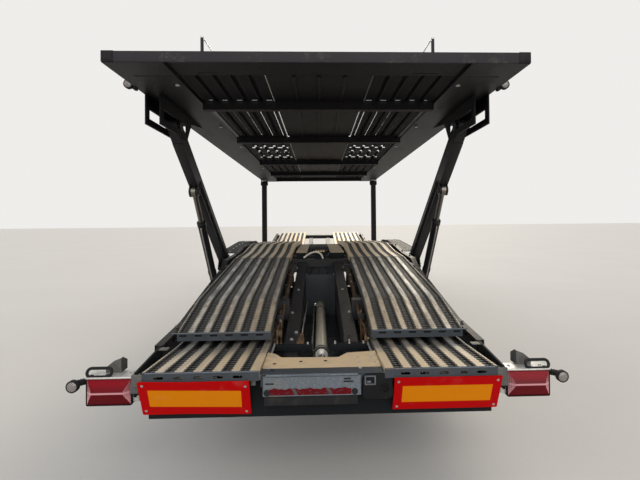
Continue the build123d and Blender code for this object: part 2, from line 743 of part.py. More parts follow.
# Tail lamps with hipped lenses, their top covers, handles and flaps
for side, sign in SIDES:
    with BuildPart() as tail_lamp:
        block(sign * lamp_inner, sign * lamp_outer, lamp_face + lens_depth, lamp_back, lamp_bottom, lamp_top)
        lamp_x = sign * (lamp_inner + lamp_outer) / 2
        lamp_z = (lamp_bottom + lamp_top) / 2
        with BuildSketch(Plane(origin=(lamp_x, y_at(lamp_face + lens_depth), lamp_z), x_dir=(1, 0, 0),
                               z_dir=(0, -1, 0))) as lens_base:
            Rectangle(lamp_outer - lamp_inner, lamp_top - lamp_bottom)
        with BuildSketch(Plane(origin=(lamp_x, y_at(lamp_face), lamp_z), x_dir=(1, 0, 0),
                               z_dir=(0, -1, 0))) as lens_ridge:
            Rectangle((lamp_outer - lamp_inner) * 0.6, 8)
        loft([lens_base.sketch.faces()[0], lens_ridge.sketch.faces()[0]])
    tail_lamp.part.label = f"tail_lamp_{side}"
    export_step(tail_lamp.part, f"parts/tail_lamp_{side}.step")

with BuildPart() as lamp_handles:
    for side, sign in SIDES:
        handle_x = sign * (lamp_outer - 75)
        block(handle_x - 60, handle_x + 60, lamp_face + 20, lamp_face + 50, lamp_top, lamp_top + 50)
        block(handle_x - 42, handle_x + 42, lamp_face + 10, lamp_face + 60, lamp_top + 14, lamp_top + 36,
              mode=Mode.SUBTRACT)
lamp_handles.part.label = "lamp_handles"
export_step(lamp_handles.part, "parts/lamp_handles.step")

marker_x = lamp_outer + 43
marker_radius = 32.5
marker_height = 628
marker_bracket = 16
with BuildPart() as marker_lamps:
    for side, sign in SIDES:
        long_rod(sign * marker_x, marker_height, marker_radius, 110, 150)
        for x_near, start in ((lamp_outer, 200), (marker_x - 12, 148)):
            block(sign * x_near, sign * (marker_x + 12), start, 230, marker_height - marker_bracket,
                  marker_height + marker_bracket)
marker_lamps.part.label = "marker_lamps"
export_step(marker_lamps.part, "parts/marker_lamps.step")

with BuildPart() as extension_rod:
    long_rod(0, barrel_height, extension_rod_radius, centre_box_end, gland_start + gland_length
             + extension_stroke + 100)
extension_rod.part.label = "extension_rod"
export_step(extension_rod.part, "parts/extension_rod.step")

# Upper deck: side members with the hinge cheeks and the slotted guides of the arms
cheek_inner = post_inner - cheek_gap - cheek
cheek_outer = post_inner + post_width + cheek_gap
guide_inner = arm_inner - cheek_gap - cheek
guide_outer = arm_outer + cheek_gap
upper_track_start = deck_rear + rear_plate_depth
upper_track_end = deck_front - front_plate_depth
REAR_PLATE_SLOTS = (upper_track_start - 55, upper_track_start - 35)
with BuildPart() as deck_sides:
    for side, sign in SIDES:
        strip(DECK_LINE, deck_rear, deck_front, -member_height, 0,
              sign * (deck_half_width - member_tube), sign * deck_half_width)
        strip(DECK_LINE, deck_rear, deck_front, -8, 0, sign * member_inner, sign * deck_half_width)
        strip(DECK_LINE, deck_rear, deck_front, -member_height, 0,
              sign * member_inner, sign * (member_inner + 8))
        block(sign * (member_inner + 20), sign * (deck_half_width - member_tube - 20),
              *REAR_PLATE_SLOTS, deck_bottom_rear - 40, deck_bottom_rear + 40, mode=Mode.SUBTRACT)
        for x_cheek in (cheek_inner, cheek_outer):
            cheek_top = deck_bottom(post_station) + 6
            slab([(post_station - 60, cheek_top), (post_station + 60, cheek_top),
                  (post_station + 40, hinge_height - 40), (post_station - 40, hinge_height - 40)],
                 sign * x_cheek, sign * (x_cheek + cheek))
        cross_rod(post_station, hinge_height, hinge_pin_radius + pin_gap, sign * cheek_inner,
                  sign * (cheek_outer + cheek), mode=Mode.SUBTRACT)
        for x_cheek in (guide_inner, guide_outer):
            guide_rear = guide_slot_stations[0] - guide_end_wall
            low_end, nose, front = guide_nose_stations
            slab([(guide_rear, deck_bottom(guide_rear) + sheet), (guide_rear, arm_head[1] - guide_below_head),
                  (low_end, arm_head[1] - guide_below_head), (nose, deck_bottom(nose) - guide_nose_height),
                  (front, deck_bottom(front) + sheet)],
                 sign * x_cheek, sign * (x_cheek + cheek))
        block(sign * guide_inner, sign * (guide_outer + cheek), guide_slot_stations[0],
              guide_slot_stations[1], arm_head[1] - guide_slot_half, arm_head[1] + guide_slot_half,
              mode=Mode.SUBTRACT)
deck_sides.part.label = "deck_sides"
export_step(deck_sides.part, "parts/deck_sides.step")

# Cross tubes and end plates between the side members
tube_reach = member_inner - slide_gap
with BuildPart() as deck_crossmembers:
    for station in CROSS_TUBES:
        strip(DECK_LINE, station - 35, station + 35, -deck_plate_rise, 45, -tube_reach, tube_reach)
    for start, end in ((deck_rear, upper_track_start), (upper_track_end, deck_front)):
        strip(DECK_LINE, start, end, -deck_plate_rise - 15, -deck_plate_rise, -tube_reach, tube_reach)
    for side, sign in SIDES:
        strip(DECK_LINE, *REAR_PLATE_SLOTS, -60, 0, sign * member_inner * 0.66,
              sign * member_inner * 0.85, mode=Mode.SUBTRACT)
deck_crossmembers.part.label = "deck_crossmembers"
export_step(deck_crossmembers.part, "parts/deck_crossmembers.step")

plate_rise = deck_plate_rise + rib_height + sheet
UPPER_LINE = tuple((s, z + plate_rise) for s, z in DECK_LINE)
upper_pitch = (upper_track_outer - upper_track_inner + rib_width) / upper_channels
UPPER_RIBS = [upper_track_inner + i * upper_pitch - rib_width for i in range(1, upper_channels)]
UPPER_CHANNELS = [x - (upper_pitch - rib_width) / 2 for x in [*UPPER_RIBS, upper_track_outer]]
channel_slot_half = 24
slit_half = 3
for side, sign in SIDES:
    with BuildPart() as upper_track:
        ribbed_track(UPPER_LINE, upper_track_start + seat_gap, upper_track_end - seat_gap, upper_track_inner,
                     upper_track_outer, UPPER_RIBS, sign, rib_height + sheet)
        for station in SLOT_STATIONS:
            strip(UPPER_LINE, station - 45, station + 45, -10, 60, sign * UPPER_CHANNELS[0],
                  sign * UPPER_CHANNELS[-1], mode=Mode.SUBTRACT)
        for x_channel in UPPER_CHANNELS:
            for half, start, end in (
                *((channel_slot_half, station - 68, station - 40) for station in SLOTTED_TUBES),
                (slit_half, CROSS_TUBES[0] + 90, CROSS_TUBES[1] - 90),
            ):
                strip(UPPER_LINE, start, end, 0, 60, sign * (x_channel - half), sign * (x_channel + half),
                      mode=Mode.SUBTRACT)
    upper_track.part.label = f"upper_track_{side}"
    export_step(upper_track.part, f"parts/upper_track_{side}.step")

with BuildPart() as upper_infill:
    strip(DECK_LINE, upper_track_start + seat_gap, upper_track_end - seat_gap, -deck_plate_rise - 8,
          -deck_plate_rise, -infill_half_width, infill_half_width)
upper_infill.part.label = "upper_infill"
export_step(upper_infill.part, "parts/upper_infill.step")

# Guard posts on the side members, with two ropes each side
GUARD_POSTS = (2500, 4300, 6100, 7900)
guard_height = 1035
guard_top = deck_bottom_front + guard_height
upper_rope_drop = 30
lower_rope_drop = 480
guard_x = deck_half_width - member_tube / 2
guard_post_radius = 17
guard_foot_thickness = 10
rope_radius = 6
with BuildPart() as guard_posts:
    for side, sign in SIDES:
        for station in GUARD_POSTS:
            post_rod(sign * guard_x, station, guard_post_radius,
                     deck_bottom(station) + member_height + guard_foot_thickness / 2, guard_top)
            strip(DECK_LINE, station - 40, station + 40, -member_height - guard_foot_thickness,
                  -member_height, sign * (guard_x - 30), sign * (guard_x + 30))
guard_posts.part.label = "guard_posts"
export_step(guard_posts.part, "parts/guard_posts.step")

with BuildPart() as guard_ropes:
    for side, sign in SIDES:
        for height in (guard_top - upper_rope_drop, guard_top - lower_rope_drop):
            long_rod(sign * (guard_x - guard_post_radius - slide_gap - rope_radius), height, rope_radius,
                     GUARD_POSTS[0] - 20, GUARD_POSTS[-1] + 20)
guard_ropes.part.label = "guard_ropes"
export_step(guard_ropes.part, "parts/guard_ropes.step")

work_lamp_height = deck_bottom_rear + 20
with BuildPart() as work_lamps:
    for side, sign in SIDES:
        long_rod(sign * (deck_half_width + 42), work_lamp_height, 33, 760, 800)
        block(sign * deck_half_width, sign * (deck_half_width + 42), 780, 800, work_lamp_height - 15,
              work_lamp_height + 15)
work_lamps.part.label = "work_lamps"
export_step(work_lamps.part, "parts/work_lamps.step")

# Lifting arms with their head pins and the cylinder lugs
arm_length = math.hypot(arm_head[0] - arm_foot[0], arm_head[1] - arm_foot[1])
for side, sign in SIDES:
    with BuildPart() as lift_arm:
        slab([between(arm_foot, arm_head, 0, -arm_half_depth), between(arm_foot, arm_head, 0, arm_half_depth),
              between(arm_foot, arm_head, arm_length, arm_half_depth * 0.8),
              between(arm_foot, arm_head, arm_length, -arm_half_depth * 0.8)],
             sign * arm_inner, sign * arm_outer)
        cross_rod(arm_foot[0], arm_foot[1], arm_half_depth, sign * arm_inner, sign * arm_outer)
        cross_rod(arm_head[0], arm_head[1], arm_half_depth * 0.8, sign * arm_inner, sign * arm_outer)
        cross_rod(arm_head[0], arm_head[1], arm_pin_radius, sign * guide_inner, sign * (guide_outer + cheek))
        for x_lug in (arm_inner, arm_outer - 12):
            cross_rod(cylinder_eye[0], cylinder_eye[1], eye_radius, sign * x_lug, sign * (x_lug + 12))
        cross_rod(cylinder_eye[0], cylinder_eye[1], eye_radius + eye_pocket_gap, sign * (arm_inner + 12),
                  sign * (arm_outer - 12), mode=Mode.SUBTRACT)
        cross_rod(cylinder_eye[0], cylinder_eye[1], cylinder_pin_radius, sign * arm_inner, sign * arm_outer)
        cross_rod(arm_foot[0], arm_foot[1], arm_pin_radius + pin_gap, sign * arm_inner, sign * arm_outer,
                  mode=Mode.SUBTRACT)
    lift_arm.part.label = f"lift_arm_{side}"
    export_step(lift_arm.part, f"parts/lift_arm_{side}.step")

# Lifting cylinders: barrel on its foot pin, rod with an open eye on the arm's pin
foot_to_eye = math.hypot(cylinder_eye[0] - cylinder_foot[0], cylinder_eye[1] - cylinder_foot[1])
eye_half_width = 20
for side, sign in SIDES:
    foot_y = y_at(cylinder_foot[0])
    axis_dir = (0, (cylinder_eye[0] - cylinder_foot[0]) / foot_to_eye,
                (cylinder_eye[1] - cylinder_foot[1]) / foot_to_eye)

    def cylinder_plane(along):
        return Plane(origin=(sign * arm_middle, foot_y + axis_dir[1] * along,
                             cylinder_foot[1] + axis_dir[2] * along), x_dir=(1, 0, 0), z_dir=axis_dir)

    with BuildPart() as cylinder_barrel:
        with BuildSketch(cylinder_plane(40)) as tube:
            Circle(barrel_radius)
        extrude(tube.sketch, amount=barrel_length - 40)
        cross_rod(cylinder_foot[0], cylinder_foot[1], 45, sign * (arm_middle - 35), sign * (arm_middle + 35))
        with BuildSketch(cylinder_plane(120)) as bore:
            Circle(cylinder_rod_radius + pin_gap)
        extrude(bore.sketch, amount=barrel_length, mode=Mode.SUBTRACT)
        cross_rod(cylinder_foot[0], cylinder_foot[1], cylinder_pin_radius + pin_gap,
                  sign * (arm_middle - 45), sign * (arm_middle + 45), mode=Mode.SUBTRACT)
    cylinder_barrel.part.label = f"cylinder_barrel_{side}"
    export_step(cylinder_barrel.part, f"parts/cylinder_barrel_{side}.step")

    rod_inner_end = foot_to_eye - 640
    with BuildPart() as cylinder_rod:
        with BuildSketch(cylinder_plane(rod_inner_end)) as shaft:
            Circle(cylinder_rod_radius)
        extrude(shaft.sketch, amount=640 - eye_radius + 8)
        cross_rod(cylinder_eye[0], cylinder_eye[1], eye_radius, sign * (arm_middle - eye_half_width),
                  sign * (arm_middle + eye_half_width))
        cross_rod(cylinder_eye[0], cylinder_eye[1], cylinder_pin_radius + eye_clearance,
                  sign * (arm_middle - eye_half_width), sign * (arm_middle + eye_half_width),
                  mode=Mode.SUBTRACT)
    cylinder_rod.part.label = f"cylinder_rod_{side}"
    export_step(cylinder_rod.part, f"parts/cylinder_rod_{side}.step")
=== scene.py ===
# Looks of a two-deck car transporter trailer, laid out as a Blender add-on and run as a script.
# Lengths are in metres. +X is right, +Y is forward, +Z is up. A station is a distance forward from
# the trailer's rearmost point, and points are written (x, station, height) until at or model is called.
import math

import bmesh
import bpy
import numpy as np
from bpy.props import FloatProperty, FloatVectorProperty, PointerProperty
from mathutils import Matrix


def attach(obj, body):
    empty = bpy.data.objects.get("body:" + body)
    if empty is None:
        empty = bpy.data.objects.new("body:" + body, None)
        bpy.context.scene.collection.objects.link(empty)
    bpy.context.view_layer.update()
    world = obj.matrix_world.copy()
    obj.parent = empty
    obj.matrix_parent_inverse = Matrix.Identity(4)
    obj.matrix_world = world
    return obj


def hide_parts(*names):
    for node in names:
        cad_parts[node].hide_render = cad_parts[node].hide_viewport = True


bl_info = {
    "name": "Car transporter trailer",
    "version": (1, 0, 0),
    "blender": (4, 5, 0),
    "location": "3D View > Sidebar > Trailer",
    "description": "Finishes and fine pieces of a two-deck car transporter trailer",
    "category": "Object",
}

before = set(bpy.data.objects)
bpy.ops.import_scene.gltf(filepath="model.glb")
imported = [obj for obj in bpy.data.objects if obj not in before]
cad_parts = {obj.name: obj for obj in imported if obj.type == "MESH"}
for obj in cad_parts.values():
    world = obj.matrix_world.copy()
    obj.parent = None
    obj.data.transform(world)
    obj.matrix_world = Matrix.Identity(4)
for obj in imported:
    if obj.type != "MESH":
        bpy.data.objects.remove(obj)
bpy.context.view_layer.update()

SIDES = (("left", -1), ("right", 1))
LENGTH = 10.9

# Top lines as (station, height)
LOWER_LINE = np.array([
    (0.65, 0.778), (1.21, 0.908), (2.81, 1.09), (3.4, 1.112), (4.1, 1.18), (5.6, 1.15), (6.25, 0.965),
    (7.3, 0.93), (8.2, 1.056), (9.4, 1.2)])
REAR_LINE = np.array([(0.015, 0.724), (0.6, 0.7), (1.9, 0.7)])
SIDE_LINE = np.array([
    (0.17, 0.678), (0.6, 0.715), (1.15, 0.748), (1.8, 0.86), (2.5, 0.972), (2.81, 1.07), (3.4, 1.092),
    (4.1, 1.16), (5.6, 1.13), (6.25, 0.945), (7.3, 0.91), (8.2, 1.036), (9.4, 1.18)])
RAIL_LINE = np.array([(0.7, 0.68), (2.1, 0.895), (2.85, 1.0), (4.2, 1.115)])
SIDE_COVER_LINE = np.array([(3.64, 1.095), (4.1, 1.13), (5.0, 1.175), (5.6, 1.16), (6.1, 1.02)])
DECK_REAR, DECK_FRONT = 0.27, 8.3
DECK_LINE = np.array([(DECK_REAR, 2.4), (DECK_FRONT, 2.365)])
DECK_FALL = (2.4 - 2.365) / (DECK_FRONT - DECK_REAR)
UPPER_LINE = DECK_LINE + (0, 0.048)

# Tracks
TRACK_INNER = 0.325
RIB_WIDTH, RIB_HEIGHT = 0.048, 0.022
LOWER_PITCH = 0.098
REAR_PITCH = (0.92 - 0.012 - TRACK_INNER) / 6
UPPER_INNER, UPPER_OUTER = 0.35, 0.868
UPPER_PITCH = (UPPER_OUTER - UPPER_INNER + RIB_WIDTH) / 5
INCLINE_END, HUMP_END, TRACK_END = 2.81, 6.25, 9.4
TRACK_GAP = 0.004
REAR_LIP, LOWER_LIP = 0.0225, 0.6575

# Wheels
TYRE_RADIUS, TYRE_WIDTH = 0.3945, 0.235
AXLES = (("rear", 3.75), ("front", 5.06))
OUTER_TYRE, INNER_TYRE = 1.145, 0.86

# Tail
LAMP_MIDDLE, LAMP_FACE, LAMP_HEIGHT = 1.155, 0.156, 0.575
LENS_BACK = LAMP_FACE + 0.034
HANDLE_X = 1.212
MARKER_X, MARKER_HEIGHT = 1.318, 0.628
TAPE_LOW, TAPE_HIGH = 0.593, 0.693
COVER_FOLD, COVER_TOP = 0.116, 0.704
PLATE_TILT, LEFT_PLATE_LEAN = math.radians(26), math.radians(1.4)
PLATE_TOP, PLATE_INNER, PLATE_WIDTH, PLATE_HEIGHT = 0.676, 0.374, 0.565, 0.215

# Well: half its width, its floor's height and its front end; height of the extension cylinder
WELL_HALF, WELL_FLOOR, WELL_END = 0.15, 0.4995, 2.58
BARREL_HEIGHT = 0.6

# Guard posts' stations and the ropes' heights
POSTS, ROPES = (2.5, 4.3, 6.1, 7.9), (3.37, 2.92)

# Lifting gear as (station, height), and the deck's hinge
ARM_FOOT, ARM_HEAD = np.array((3.5, 1.03)), np.array((1.46, 2.27))
CYLINDER_FOOT, CYLINDER_EYE = np.array((3.05, 0.7)), np.array((2.08026, 1.77481))
ARM_MIDDLE = 1.1775
HINGE = (7.9, 2.29)

# Directions
RIGHT, FORWARD, BACKWARD, UP, DOWN = (1, 0, 0), (0, 1, 0), (0, -1, 0), (0, 0, 1), (0, 0, -1)


def y_at(station):
    """Forward coordinate of a station."""
    return station - LENGTH / 2


def at(x, station, height):
    """Point or points of the frame; each value may be a number or an array."""
    x, station, height = np.broadcast_arrays(x, station, height)
    return np.stack([x, y_at(station), height], -1)


def model(points, sign=1):
    """Points (x, station, height) as points of the frame, x times the side's sign."""
    points = np.array(points, float)
    return at(sign * points[..., 0], points[..., 1], points[..., 2])


def height_on(line, station):
    """Height of a (station, height) line, straight between its points."""
    return np.interp(station, line[:, 0], line[:, 1])


# Sizes and colours that a user would change


def length(name, description, default, low, high):
    """Length property with its default and limits."""
    return FloatProperty(name=name, description=description, default=default, min=low, max=high,
                         unit="LENGTH")


class TrailerSizes(bpy.types.PropertyGroup):
    """Sizes of the fine pieces."""

    tooth_pitch: length("Tooth pitch", "Spacing of the punched teeth in the channels", 0.027, 0.015, 0.08)
    rear_tooth_pitch: length("Rear tooth pitch", "Spacing of the teeth on the rear tracks", 0.045, 0.02, 0.08)
    tooth_rise: length("Tooth rise", "Height of the teeth above the channel floor", 0.012, 0.002, 0.02)
    bolt_size: length("Bolt size", "Width across a bolt head", 0.018, 0.008, 0.04)
    hose_radius: length("Hose radius", "Radius of the hydraulic hoses", 0.009, 0.004, 0.02)
    floor_size: length("Floor size", "Width of the studio floor", 240.0, 20.0, 400.0)


def colour(name, description, *default):
    """Colour property with its default."""
    return FloatVectorProperty(name=name, description=description, default=default, size=3, min=0, max=1,
                               subtype="COLOR")


class TrailerColours(bpy.types.PropertyGroup):
    """Base colours of the finishes."""

    zinc: colour("Zinc", "Galvanised steel of the track ribs", 0.60, 0.59, 0.56)
    # Grime also colours painted shade on the track ribs and in the gap where the incline meets the hump
    grime: colour("Grime", "Road dirt in the channels", 0.022, 0.023, 0.026)
    deck: colour("Deck steel", "Dark painted steel of the upper deck", 0.0075, 0.0070, 0.0085)
    chassis: colour("Chassis steel", "Dark painted steel of the chassis", 0.020, 0.019, 0.020)
    rust: colour("Rust", "Rust and dried mud", 0.16, 0.085, 0.04)
    dust: colour("Dust", "Pale road dust", 0.36, 0.32, 0.26)
    clay: colour("Clay", "Dried clay on the ribs", 0.70, 0.54, 0.34)
    cover: colour("Cover", "Sheet cover between the rear tracks", 0.72, 0.53, 0.32)
    panel: colour("Panel", "Grey painted sheet of the tail", 0.125, 0.145, 0.165)
    lamp: colour("Lamp red", "Lens of the tail lamps", 0.22, 0.001, 0.008)
    border: colour("Plate red", "Border of the marking plates", 0.47, 0.001, 0.002)
    amber: colour("Plate amber", "Centre of the marking plates", 0.72, 0.22, 0.002)
    rubber: colour("Rubber", "Tyres, hoses and handles", 0.012, 0.012, 0.013)
    floor: colour("Floor", "Studio floor", 0.62, 0.60, 0.57)
    backdrop: colour("Backdrop", "What the camera sees behind the trailer", 0.86, 0.85, 0.83)


# Surfaces


def circle(count):
    """Unit circle: (cos a, sin a) at even angles."""
    a = np.linspace(0, 2 * np.pi, count, endpoint=False)
    return np.stack([np.cos(a), np.sin(a)], -1)


def rounded_outline(half_u, half_v, radius, count=5):
    """Rectangle with round corners: a quarter circle about each corner's centre, in turn."""
    a = np.linspace(0, np.pi / 2, count)
    signs = ((1, 1), (-1, 1), (-1, -1), (1, -1))
    return np.concatenate([
        np.stack([np.cos(a + i * np.pi / 2), np.sin(a + i * np.pi / 2)], -1) * radius
        + np.array(s) * (half_u - radius, half_v - radius) for i, s in enumerate(signs)])


def unit(v):
    """Vectors divided by their lengths."""
    v = np.asarray(v, float)
    return v / np.linalg.norm(v, axis=-1, keepdims=True)


def smooth_path(points, count):
    """Curve through points: a cubic Hermite blend whose slopes come from the neighbours on each side."""
    p = np.asarray(points, float)
    t = np.linspace(0, len(p) - 1, count)
    slope = np.gradient(p, axis=0)
    i = np.clip(t.astype(int), 0, len(p) - 2)
    f = (t - i)[:, None]
    return ((2 * f ** 3 - 3 * f ** 2 + 1) * p[i] + (f ** 3 - 2 * f ** 2 + f) * slope[i]
            + (3 * f ** 2 - 2 * f ** 3) * p[i + 1] + (f ** 3 - f ** 2) * slope[i + 1])


def facing(direction):
    """Matrix that turns +Z to a direction."""
    z = unit(direction)
    x = unit(np.cross(np.eye(3)[np.argmin(np.abs(z))], z))
    return np.stack([x, np.cross(z, x), z], 1)


class Skin:
    """Gathers grids of points into one mesh of quads. Every method adds a shape and returns the skin."""

    def __init__(self):
        self.points, self.faces, self.rise, self.size = [], [], [], 0

    def add(self, points, faces, rise):
        """Appends points, quads of their indices, and the rise of each point."""
        self.points.append(points)
        self.faces.append(faces)
        self.rise.append(rise)
        self.size += len(points)
        return self

    def grid(self, points, across=False, along=False, rise=None):
        """Grid of points; across closes its columns into a ring, along closes its rows."""
        points = np.asarray(points, float)
        rows, columns = points.shape[:2]
        index = self.size + np.arange(rows * columns).reshape(rows, columns)
        if across:
            index = np.concatenate([index, index[:, :1]], 1)
        if along:
            index = np.concatenate([index, index[:1]], 0)
        quads = np.stack([index[:-1, :-1], index[:-1, 1:], index[1:, 1:], index[1:, :-1]], -1).reshape(-1, 4)
        rise = np.zeros(rows * columns) if rise is None else np.asarray(rise, float).reshape(-1)
        return self.add(points.reshape(-1, 3), quads, rise)

    def rings(self, rings, rise=None):
        """Closed rings of points joined in order, each end drawn together at its middle."""
        rings = np.asarray(rings, float)
        poles = [np.repeat(rings[i].mean(0)[None, None], rings.shape[1], 1) for i in (0, -1)]
        if rise is not None:
            rise = np.concatenate([rise[:1], rise, rise[-1:]])
        return self.grid(np.concatenate([poles[0], rings, poles[1]]), across=True, rise=rise)

    def sweep(self, outline, path, up=UP, scale=1.0):
        """Outline carried along a path: point = path + u * side + v * lift, side = direction x up."""
        path = np.asarray(path, float)
        direction = unit(np.gradient(path, axis=0))
        side = unit(np.cross(direction, np.asarray(up, float)))
        lift = np.cross(side, direction)
        size = np.broadcast_to(np.asarray(scale, float), (len(path),))[:, None]
        u, v = outline[:, 0] * size, outline[:, 1] * size
        return self.rings(path[:, None] + side[:, None] * u[..., None] + lift[:, None] * v[..., None])

    def tube(self, path, radius, sides=8, up=UP):
        """Round tube: a circle carried along a path; radius is one value or one for each point."""
        return self.sweep(circle(sides), path, up, radius)

    def turned(self, profile, origin, axis=UP, segments=24):
        """Surface of revolution: each (radius, distance along the axis) of the profile goes round."""
        axis = unit(axis)
        u = unit(np.cross(axis, np.eye(3)[np.argmin(np.abs(axis))]))
        v = np.cross(axis, u)
        ring = circle(segments)
        profile = np.asarray(profile, float)
        spokes = ring[:, :1] * u + ring[:, 1:] * v
        origin = np.asarray(origin, float)
        return self.rings(origin + profile[:, None, :1] * spokes + profile[:, None, 1:] * axis)

    def slab(self, low, high, edge=0.004, axis=2):
        """Box with rounded edges: a rounded rectangle carried along an axis, drawn in by a quarter
        circle at both ends."""
        low, high = np.minimum(low, high), np.maximum(low, high)
        centre, half = (low + high) / 2, (high - low) / 2
        u, v = [i for i in range(3) if i != axis]
        edge = min(edge, *(half * 0.9))
        a = np.linspace(0, np.pi / 2, 4)
        inset = edge * (1 - np.sin(a))
        reach = half[axis] - edge * (1 - np.cos(a))
        rings = []
        for shrink, along in zip([*inset, *inset[::-1]], [*-reach, *reach[::-1]]):
            outline = rounded_outline(half[u] - shrink, half[v] - shrink, max(max(edge, 1e-4) - shrink, 2e-4))
            ring = np.zeros((len(outline), 3))
            ring[:, u], ring[:, v], ring[:, axis] = outline[:, 0], outline[:, 1], along
            rings.append(ring + centre)
        return self.rings(rings)

    def boxes(self, bounds, sign=1, edge=0.003, axis=2):
        """Slabs, each from (x, x, station, station, height, height), x times the side's sign."""
        for x0, x1, s0, s1, z0, z1 in bounds:
            self.slab((sign * x0, y_at(s0), z0), (sign * x1, y_at(s1), z1), edge, axis)
        return self

    def sheet(self, outline, lift, direction):
        """Plate: a flat outline of points, lifted along a direction, with its rim drawn in by a bevel."""
        bevel = 0.001
        outline, direction = np.asarray(outline, float), unit(direction)
        inward = unit(outline.mean(0) - outline) * bevel
        steps = ((inward, 0), (0, bevel), (0, lift - bevel), (inward, lift))
        return self.rings([outline + shift + direction * along for shift, along in steps])

    def flat_rings(self, centre, outlines, closed=False):
        """Outlines in the X-Z plane about a centre, each shifted forward; closed joins last to first."""
        rings = [centre + np.stack([o[:, 0], np.full(len(o), shift), o[:, 1]], -1) for o, shift in outlines]
        return self.grid(rings, across=True, along=True) if closed else self.rings(rings)

    def copies(self, part, places, turn=None):
        """A part once at each place: its points, turned by the 3 x 3 matrix, plus the place."""
        points, faces = np.concatenate(part.points), np.concatenate(part.faces)
        if turn is not None:
            points = points @ np.asarray(turn, float).T
        places = np.asarray(places, float).reshape(-1, 3)
        shift = self.size + np.arange(len(places))[:, None, None] * len(points)
        return self.add((points[None] + places[:, None]).reshape(-1, 3), (faces[None] + shift).reshape(-1, 4),
                        np.tile(np.concatenate(part.rise), len(places)))


def bolt(size, height=0.6):
    """Bolt head along +Z from its seat: a washer and a six-sided head with a drawn-in top."""
    washer = [(0.75 * size, 0), (0.75 * size, 0.1 * size), (0.7 * size, 0.14 * size)]
    head = [(0.55 * size, 0.1 * size), (0.55 * size, (height - 0.08) * size), (0.46 * size, height * size)]
    return Skin().turned(washer, (0, 0, 0), UP, 14).turned(head, (0, 0, 0), UP, 6)


def piece(name, skin, body, finish, replaces=(), sharp=35):
    """Makes a mesh object from a skin: merges the poles, turns the faces outwards, and lets it ride."""
    points = np.concatenate(skin.points)
    faces = np.concatenate(skin.faces)
    mesh = bpy.data.meshes.new(name)
    mesh.vertices.add(len(points))
    mesh.vertices.foreach_set("co", points.astype(np.float32).ravel())
    mesh.loops.add(faces.size)
    mesh.loops.foreach_set("vertex_index", faces.astype(np.int32).ravel())
    mesh.polygons.add(len(faces))
    mesh.polygons.foreach_set("loop_start", (np.arange(len(faces)) * 4).astype(np.int32))
    rise = mesh.attributes.new("rise", "FLOAT", "POINT")
    rise.data.foreach_set("value", np.concatenate(skin.rise).astype(np.float32))
    mesh.update(calc_edges=True)
    work = bmesh.new()
    work.from_mesh(mesh)
    bmesh.ops.remove_doubles(work, verts=work.verts, dist=2e-5)
    bmesh.ops.recalc_face_normals(work, faces=work.faces)
    work.to_mesh(mesh)
    work.free()
    mesh.shade_smooth()
    mesh.set_sharp_from_angle(angle=math.radians(sharp))
    mesh.materials.append(FINISHES[finish])
    made = bpy.data.objects.new(name, mesh)
    bpy.context.scene.collection.objects.link(made)
    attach(made, body)
    if replaces:
        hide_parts(*replaces)


# Materials

FINISHES = {}


class Value:
    """A node socket that takes part in arithmetic: each operator adds one Math node."""

    def __init__(self, finish, socket):
        self.finish, self.socket = finish, socket

    def math(self, operation, *inputs):
        """Math node that takes the inputs in their order."""
        return self.finish.node("ShaderNodeMath", {"operation": operation}, dict(enumerate(inputs)))

    def __rsub__(self, other):
        return self.math("SUBTRACT", other, self)

    def ramp(self, low, high):
        """0 below low, 1 above high, and a smooth step between."""
        return self.finish.node("ShaderNodeMapRange", {"interpolation_type": "SMOOTHSTEP"},
                                {"Value": self, "From Min": low, "From Max": high})


for method, operation in (
    ("__add__", "ADD"), ("__radd__", "ADD"), ("__sub__", "SUBTRACT"), ("__mul__", "MULTIPLY"),
    ("__rmul__", "MULTIPLY"), ("__truediv__", "DIVIDE"), ("__gt__", "GREATER_THAN"),
    ("__lt__", "LESS_THAN"), ("__abs__", "ABSOLUTE"), ("fraction", "FRACT"), ("sine", "SINE"),
    ("least", "MINIMUM"), ("most", "MAXIMUM"),
):
    setattr(Value, method, lambda self, *others, operation=operation: self.math(operation, self, *others))


